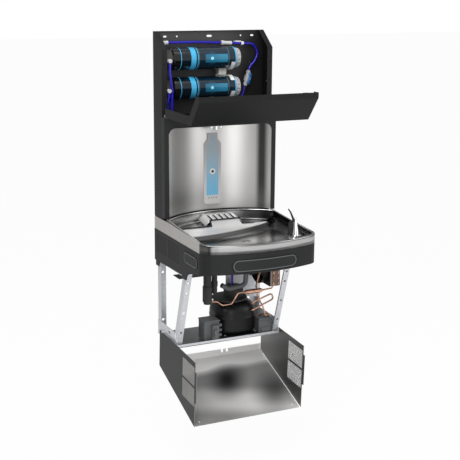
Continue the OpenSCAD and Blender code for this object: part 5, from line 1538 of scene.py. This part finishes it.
@dataclass
class Drain:
    """The drain hose, its open end and the ribbed nut."""

    bend: float = 20.0
    r: float = 10.0
    wall: float = 2.5
    rib: float = 0.955
    corners: list[Point] = field(default_factory=lambda: [
        (0, -350, 252.7), (0, -350, 225), (20, -262, 221), (80, -190, 150), (80, -182, 62),
        (6, -180, 54), (-24, -181, 72)])

    def build(self) -> None:
        """Makes the hose and the nut."""
        path = Maker.route(self.corners, self.bend, 12)
        sides = 28
        points, faces = Maker.sweep(path, self.r, sides)
        last = len(points) - sides
        inward = (path[-2] - path[-1]).normalized() * 20 * MM
        hollow = Maker.sweep([path[-1], path[-1] + inward], self.r - self.wall, sides)[0]
        faces.pop()
        base = len(points)
        points += hollow
        faces += self.lips(points, last, base, sides)
        Maker.piece("drain_hose_soft", (points, faces), Dress.HOSE, "black_rubber", "drain_hose", 50.0)
        profile = [(13.0, 0.0), (20.0, 0.0), (21.3, 1.2), (21.8, 3.0), (21.8, 15.0), (21.2, 17.2),
                   (19.2, 18.0), (18.8, 18.0), (18.8, 9.0)]
        x, y, z = self.corners[0]
        count = 48
        nut, faces = Maker.lathe(profile, (x, y, z), count)
        for i in range(2 * count, 6 * count):
            if (i // 2) % 2:
                axis = Vector((x * MM, y * MM, nut[i].z))
                nut[i] = axis + (nut[i] - axis) * self.rib
        Maker.piece("hose_nut", (nut, faces), Dress.HOSE, "black_rubber", "drain_hose", 25.0)

    @staticmethod
    def lips(points: list[Vector], last: int, base: int, sides: int) -> list[list[int]]:
        """Faces that join the hose's end to its bore.

        Args:
            points: All points.
            last: First point of the hose's last ring.
            base: First point of the bore's first ring.
            sides: Points in a ring.

        Returns:
            The ring of lip faces, the bore's wall and its floor.
        """
        shift = min(range(sides), key=lambda k: (points[last] - points[base + k]).length)

        def gap(step: int) -> float:
            """Distance from the next lip point to the bore's neighbour on one side."""
            return (points[last + 1] - points[base + (shift + step) % sides]).length

        turn = 1 if gap(1) < gap(-1) else -1
        out = []
        for k in range(sides):
            a, b = last + k, last + (k + 1) % sides
            c, d = base + (shift + turn * k) % sides, base + (shift + turn * (k + 1)) % sides
            out.append([a, b, d, c])
            out.append([c, d, d + sides, c + sides])
        out.append([base + sides + k for k in range(sides)])
        return out


@dataclass
class StrainerPlate:
    """Raised strainer plate: five open slots, a sloping wing at each end and a curved rear edge."""

    centre: float = 14.0
    half: float = 64.0
    wing: float = 20.0
    drop: float = 17.0
    front: float = -124.0
    front_z: float = 321.0
    tilt: float = 11.0
    rear_r: float = 314.0
    rear_y: float = -360.9
    slots: int = 5
    pitch: float = 24.0
    slot_w: float = 8.0
    slot_y: tuple[float, float] = (-117.0, -62.0)
    thick: float = 1.8

    def columns(self) -> list[float]:
        """Grid lines across the plate, with one on each slot edge.

        Returns:
            Their places in millimetres, in order.
        """
        edges = [self.centre + side * wide for side in (-1, 1)
                 for wide in (self.half, self.half + self.wing)]
        for i in range(self.slots):
            middle = self.centre + (i - (self.slots - 1) / 2) * self.pitch
            edges += [middle + self.slot_w * share for share in (-0.5, -0.25, 0.25, 0.5)]
        return sorted(edges)

    def spot(self, x: float, y: float) -> Vector:
        """Point of the plate's top in metres.

        Args:
            x: Across, in millimetres.
            y: Depth, in millimetres.

        Returns:
            The point.
        """
        out = max(0.0, abs(x - self.centre) - self.half)
        rise = (y - self.front) * math.tan(math.radians(self.tilt))
        return Vector((x, y, self.front_z + rise - self.drop * out / self.wing)) * MM

    def build(self) -> None:
        """Makes the plate from a grid that leaves the slots open."""
        xs = self.columns()
        low, high = self.slot_y
        rounded = [low, low + 1.0, low + 2.6, high - 2.6, high - 1.0, high]
        points = [self.spot(x, y) for x in xs
                  for y in [self.front, *rounded, self.rear_y + math.sqrt(self.rear_r ** 2 - x * x)]]
        rows = len(rounded) + 2
        faces = []
        for i in range(len(xs) - 1):
            middle = (xs[i] + xs[i + 1]) / 2 - self.centre
            away = abs((middle / self.pitch + self.slots / 2) % 1.0 - 0.5) * self.pitch
            inside = away < self.slot_w / 2 and abs(middle) < self.pitch * self.slots / 2
            for j in range(rows - 1):
                core = away < self.slot_w / 4 and 1 <= j < len(rounded)
                if not (inside and (core or 2 <= j < len(rounded) - 1)):
                    a = i * rows + j
                    faces.append([a, a + rows, a + rows + 1, a + 1])
        plate = Maker.piece("strainer_plate", (points, faces), Dress.BRIGHT, "stainless_bright",
                            "strainer", body="strainer")
        Maker.thicken(plate, self.thick)


@dataclass
class Guard:
    """Thin mouth guard and hood of the bubbler."""

    foot: Point = (146.0, -462.0, 319.8)
    wand: tuple[Point, ...] = ((-6.0, 0.0, 57.0), (-12.0, 0.0, 73.0), (-20.0, 0.0, 91.0),
                               (-30.0, 0.0, 105.0))
    arm: tuple[Point, ...] = ((-18.0, 3.0, 46.0), (-16.0, 2.0, 54.0), (-5.6, 0.0, 60.0))

    def spots(self, line: tuple[Point, ...]) -> list[Vector]:
        """Points of a line on the bubbler in metres."""
        return [(Vector(p) + Vector(self.foot)) * MM for p in line]

    def build(self) -> None:
        """Makes the wand, its arm and the hood."""
        profile = [(9.6, 0.0), (9.2, 14.0), (8.2, 32.0), (7.2, 42.0), (5.8, 47.0), (3.4, 50.0),
                   (0.6, 51.0)]
        x, y, z = self.foot
        for name, shape in (
                ("guard_wand", Maker.sweep(self.spots(self.wand), 4.6, taper=2.4)),
                ("guard_arm", Maker.sweep(self.spots(self.arm), 4.4)),
                ("guard_hood", Maker.lathe(profile, (x - 19.0, y + 4.0, z + 5.5), 40))):
            Maker.piece(name, shape, Dress.RUBBER, "black_rubber", "bubbler_guard", 60.0)


@dataclass
class VentScreens:
    """Fine screens in the four windows of the opened shroud."""

    low: float = 85.3
    high: float = 200.7
    starts: tuple[float, float] = (-80.3, -165.3)
    width: float = 75.4
    outer: float = 230.75
    thick: float = 1.0

    def build(self) -> None:
        """Makes the four screens."""
        opened = Opened()
        for side, label in ((-1, "left"), (1, "right")):
            for i, y in enumerate(self.starts):
                spots = [opened.spot(side * x, yy, z) for x in (self.outer, self.outer - self.thick)
                         for yy, z in ((y, self.low), (y - self.width, self.low),
                                       (y - self.width, self.high), (y, self.high))]
                Maker.piece(f"screen_{label}_{i}", (spots, Maker.rings(2, 4)), Dress.SCREEN, "mesh_grey",
                            "shroud_vents", body="lower_shroud")


@dataclass
class Softened:
    """CAD nodes drawn again with edges rounded enough to catch the light."""

    weld: float = 2e-6
    flat: float = 1.0
    sharp: float = 32.0
    items: tuple[tuple[str, float, str, str], ...] = (
        ("apron", 0.8, "cabinet", "dark_plastic"),
        ("front_push_bar", 2.2, "front_push_bar", "push_grey"),
        ("side_push_left", 2.0, "side_push_left", "push_grey"),
        ("side_push_right", 2.0, "side_push_right", "push_grey"),
        ("end_cap_left", 0.8, "cabinet", "speckled_grey"),
        ("end_cap_right", 0.8, "cabinet", "speckled_grey"),
        ("side_wall_left", 0.4, "cabinet", "dark_sheet"),
        ("side_wall_right", 0.4, "cabinet", "dark_sheet"),
        ("upper_cover", 0.5, "upper_cover", "cover_black"),
        ("alcove_bezel", 1.6, "cabinet", "dark_plastic"),
        ("fill_nozzle", 0.8, "cabinet", "chrome"), ("relay_box", 1.0, "cabinet", "relay_grey"),
        ("control_box", 1.0, "cabinet", "black_plastic"))

    def build(self) -> None:
        """Makes every softened piece."""
        for node, width, body, slot in self.items:
            self.soften(node, width, body, slot)

    def soften(self, node: str, width: float, body: str, slot: str) -> None:
        """Stands for a CAD node with the same shape and rounded edges.

        Args:
            node: The CAD node.
            width: Width of the rounding in millimetres.
            body: The body that it rides on.
            slot: The record's material slot.
        """
        work = bmesh.new()
        work.from_mesh(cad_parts[node].data)
        bmesh.ops.remove_doubles(work, verts=work.verts, dist=self.weld)
        bmesh.ops.dissolve_limit(work, angle_limit=math.radians(self.flat), verts=work.verts,
                                 edges=work.edges)
        mesh = bpy.data.meshes.new(node + "_soft")
        work.to_mesh(mesh)
        work.free()
        made = Maker.place(bpy.data.objects.new(node + "_soft", mesh), NODE_FINISH[node], slot, node,
                           self.sharp, body)
        rounding = made.modifiers.new("rounding", "BEVEL")
        rounding.width, rounding.segments = width * MM, 2
        rounding.limit_method, rounding.angle_limit = "ANGLE", math.radians(self.sharp)
        rounding.harden_normals = rounding.use_clamp_overlap = True


@dataclass
class Studio:
    """Floor, lamps, world and the photograph's camera."""

    floor_z: float = -0.62
    lens: float = 80.72
    eye: Point = (-1.6567, -3.7314, 1.2378)
    azimuth: float = -25.16
    elevation: float = 13.54
    roll: float = 0.39
    ambient: float = 0.5
    mirror: float = 0.42

    def build(self) -> None:
        """Sets up the whole studio."""
        self.camera()
        self.world()
        self.floor()
        self.lamp("key", (-2.2, -2.4, 2.6), (0.0, -0.2, 0.35), 2.0, 1.6, 62.0)
        self.lamp("fill", (2.6, -2.6, 1.2), (0.0, -0.2, 0.2), 1.6, 2.2, 26.0)
        self.lamp("top", (-0.4, -1.1, 2.9), (0.0, -0.3, 0.3), 2.0, 1.6, 34.0)
        self.lamp("front", (-0.3, -3.6, 0.6), (0.0, 0.0, 0.1), 1.2, 2.0, 16.0)
        bpy.context.scene.view_settings.view_transform = "Standard"

    def camera(self) -> None:
        """Puts the camera where the photograph was taken from."""
        az, el, roll = (math.radians(v) for v in (self.azimuth, self.elevation, self.roll))
        back = Vector((math.sin(az) * math.cos(el), -math.cos(az) * math.cos(el), math.sin(el)))
        right = (-back).cross(Vector((0, 0, 1))).normalized()
        up = right.cross(-back)
        x = right * math.cos(roll) + up * math.sin(roll)
        y = up * math.cos(roll) - right * math.sin(roll)
        data = bpy.data.cameras.new("camera")
        data.lens, data.sensor_width = self.lens, 36.0
        data.clip_start, data.clip_end = 0.1, 60.0
        eye = bpy.data.objects.new("camera", data)
        eye.matrix_world = Matrix.Translation(self.eye) @ Matrix((x, y, back)).transposed().to_4x4()
        bpy.context.scene.collection.objects.link(eye)
        bpy.context.scene.camera = eye

    def world(self) -> None:
        """White for the camera and through glass, softer as light."""
        g = Graph(bpy.data.worlds.new("studio"))

        def ray(kind: str) -> Value:
            """One for rays of that kind."""
            return g.node("ShaderNodeLightPath", out=f"Is {kind} Ray")

        seen = ray("Camera").top(ray("Transmission"))
        dim = g.node("ShaderNodeMapRange", None, {0: ray("Glossy"), 3: self.ambient, 4: self.mirror})
        level = g.node("ShaderNodeMapRange", None, {0: seen, 3: dim, 4: 1.0})
        light = g.node("ShaderNodeBackground", None, {"Color": (1.0, 1.0, 1.0, 1.0), "Strength": level})
        g.surface(light, "ShaderNodeOutputWorld")
        bpy.context.scene.world = g.owner

    def floor(self) -> None:
        """A wide white floor that keeps a faint shadow."""
        g = Graph(bpy.data.materials.new("studio_floor"))
        path = g.node("ShaderNodeLightPath", out="Is Camera Ray")
        lit = g.node("ShaderNodeEmission", None, {"Color": (1.0, 1.0, 1.0, 1.0), "Strength": 1.0})
        plain = g.node("ShaderNodeBsdfDiffuse", None, {"Color": (0.86, 0.86, 0.86, 1.0)})
        g.surface(g.node("ShaderNodeMixShader", None, {0: path * 0.955, 1: plain, 2: lit}))
        mesh = bpy.data.meshes.new("floor")
        r = 30.0
        mesh.from_pydata([(-r, -r, self.floor_z), (r, -r, self.floor_z), (r, r, self.floor_z),
                          (-r, r, self.floor_z)], [], [(0, 1, 2, 3)])
        mesh.materials.append(g.owner)
        made = bpy.data.objects.new("floor", mesh)
        bpy.context.scene.collection.objects.link(made)

    def lamp(self, name: str, place: Point, aim: Point, wide: float, high: float, watts: float) -> None:
        """Adds one soft box.

        Args:
            name: The lamp's name.
            place: Where it stands.
            aim: What it points at.
            wide: Its width.
            high: Its height.
            watts: Its power.
        """
        data = bpy.data.lights.new(name, "AREA")
        data.shape, data.size, data.size_y, data.energy = "RECTANGLE", wide, high, watts
        made = bpy.data.objects.new(name, data)
        made.location = place
        made.rotation_mode = "QUATERNION"
        made.rotation_quaternion = (Vector(aim) - Vector(place)).to_track_quat("-Z", "Y")
        bpy.context.scene.collection.objects.link(made)


def main() -> None:
    """Builds the station's looks and the studio, in order."""
    logging.basicConfig(level=logging.INFO, format="%(message)s")
    for part in (Studio(), CadDress(), BasinDeck(), Plumbing(), Drain(), StrainerPlate(),
                 Compressor(), Guard(), VentScreens(), Softened()):
        LOG.info("building %s", type(part).__name__)
        part.build()


if __name__ == "__main__":
    main()
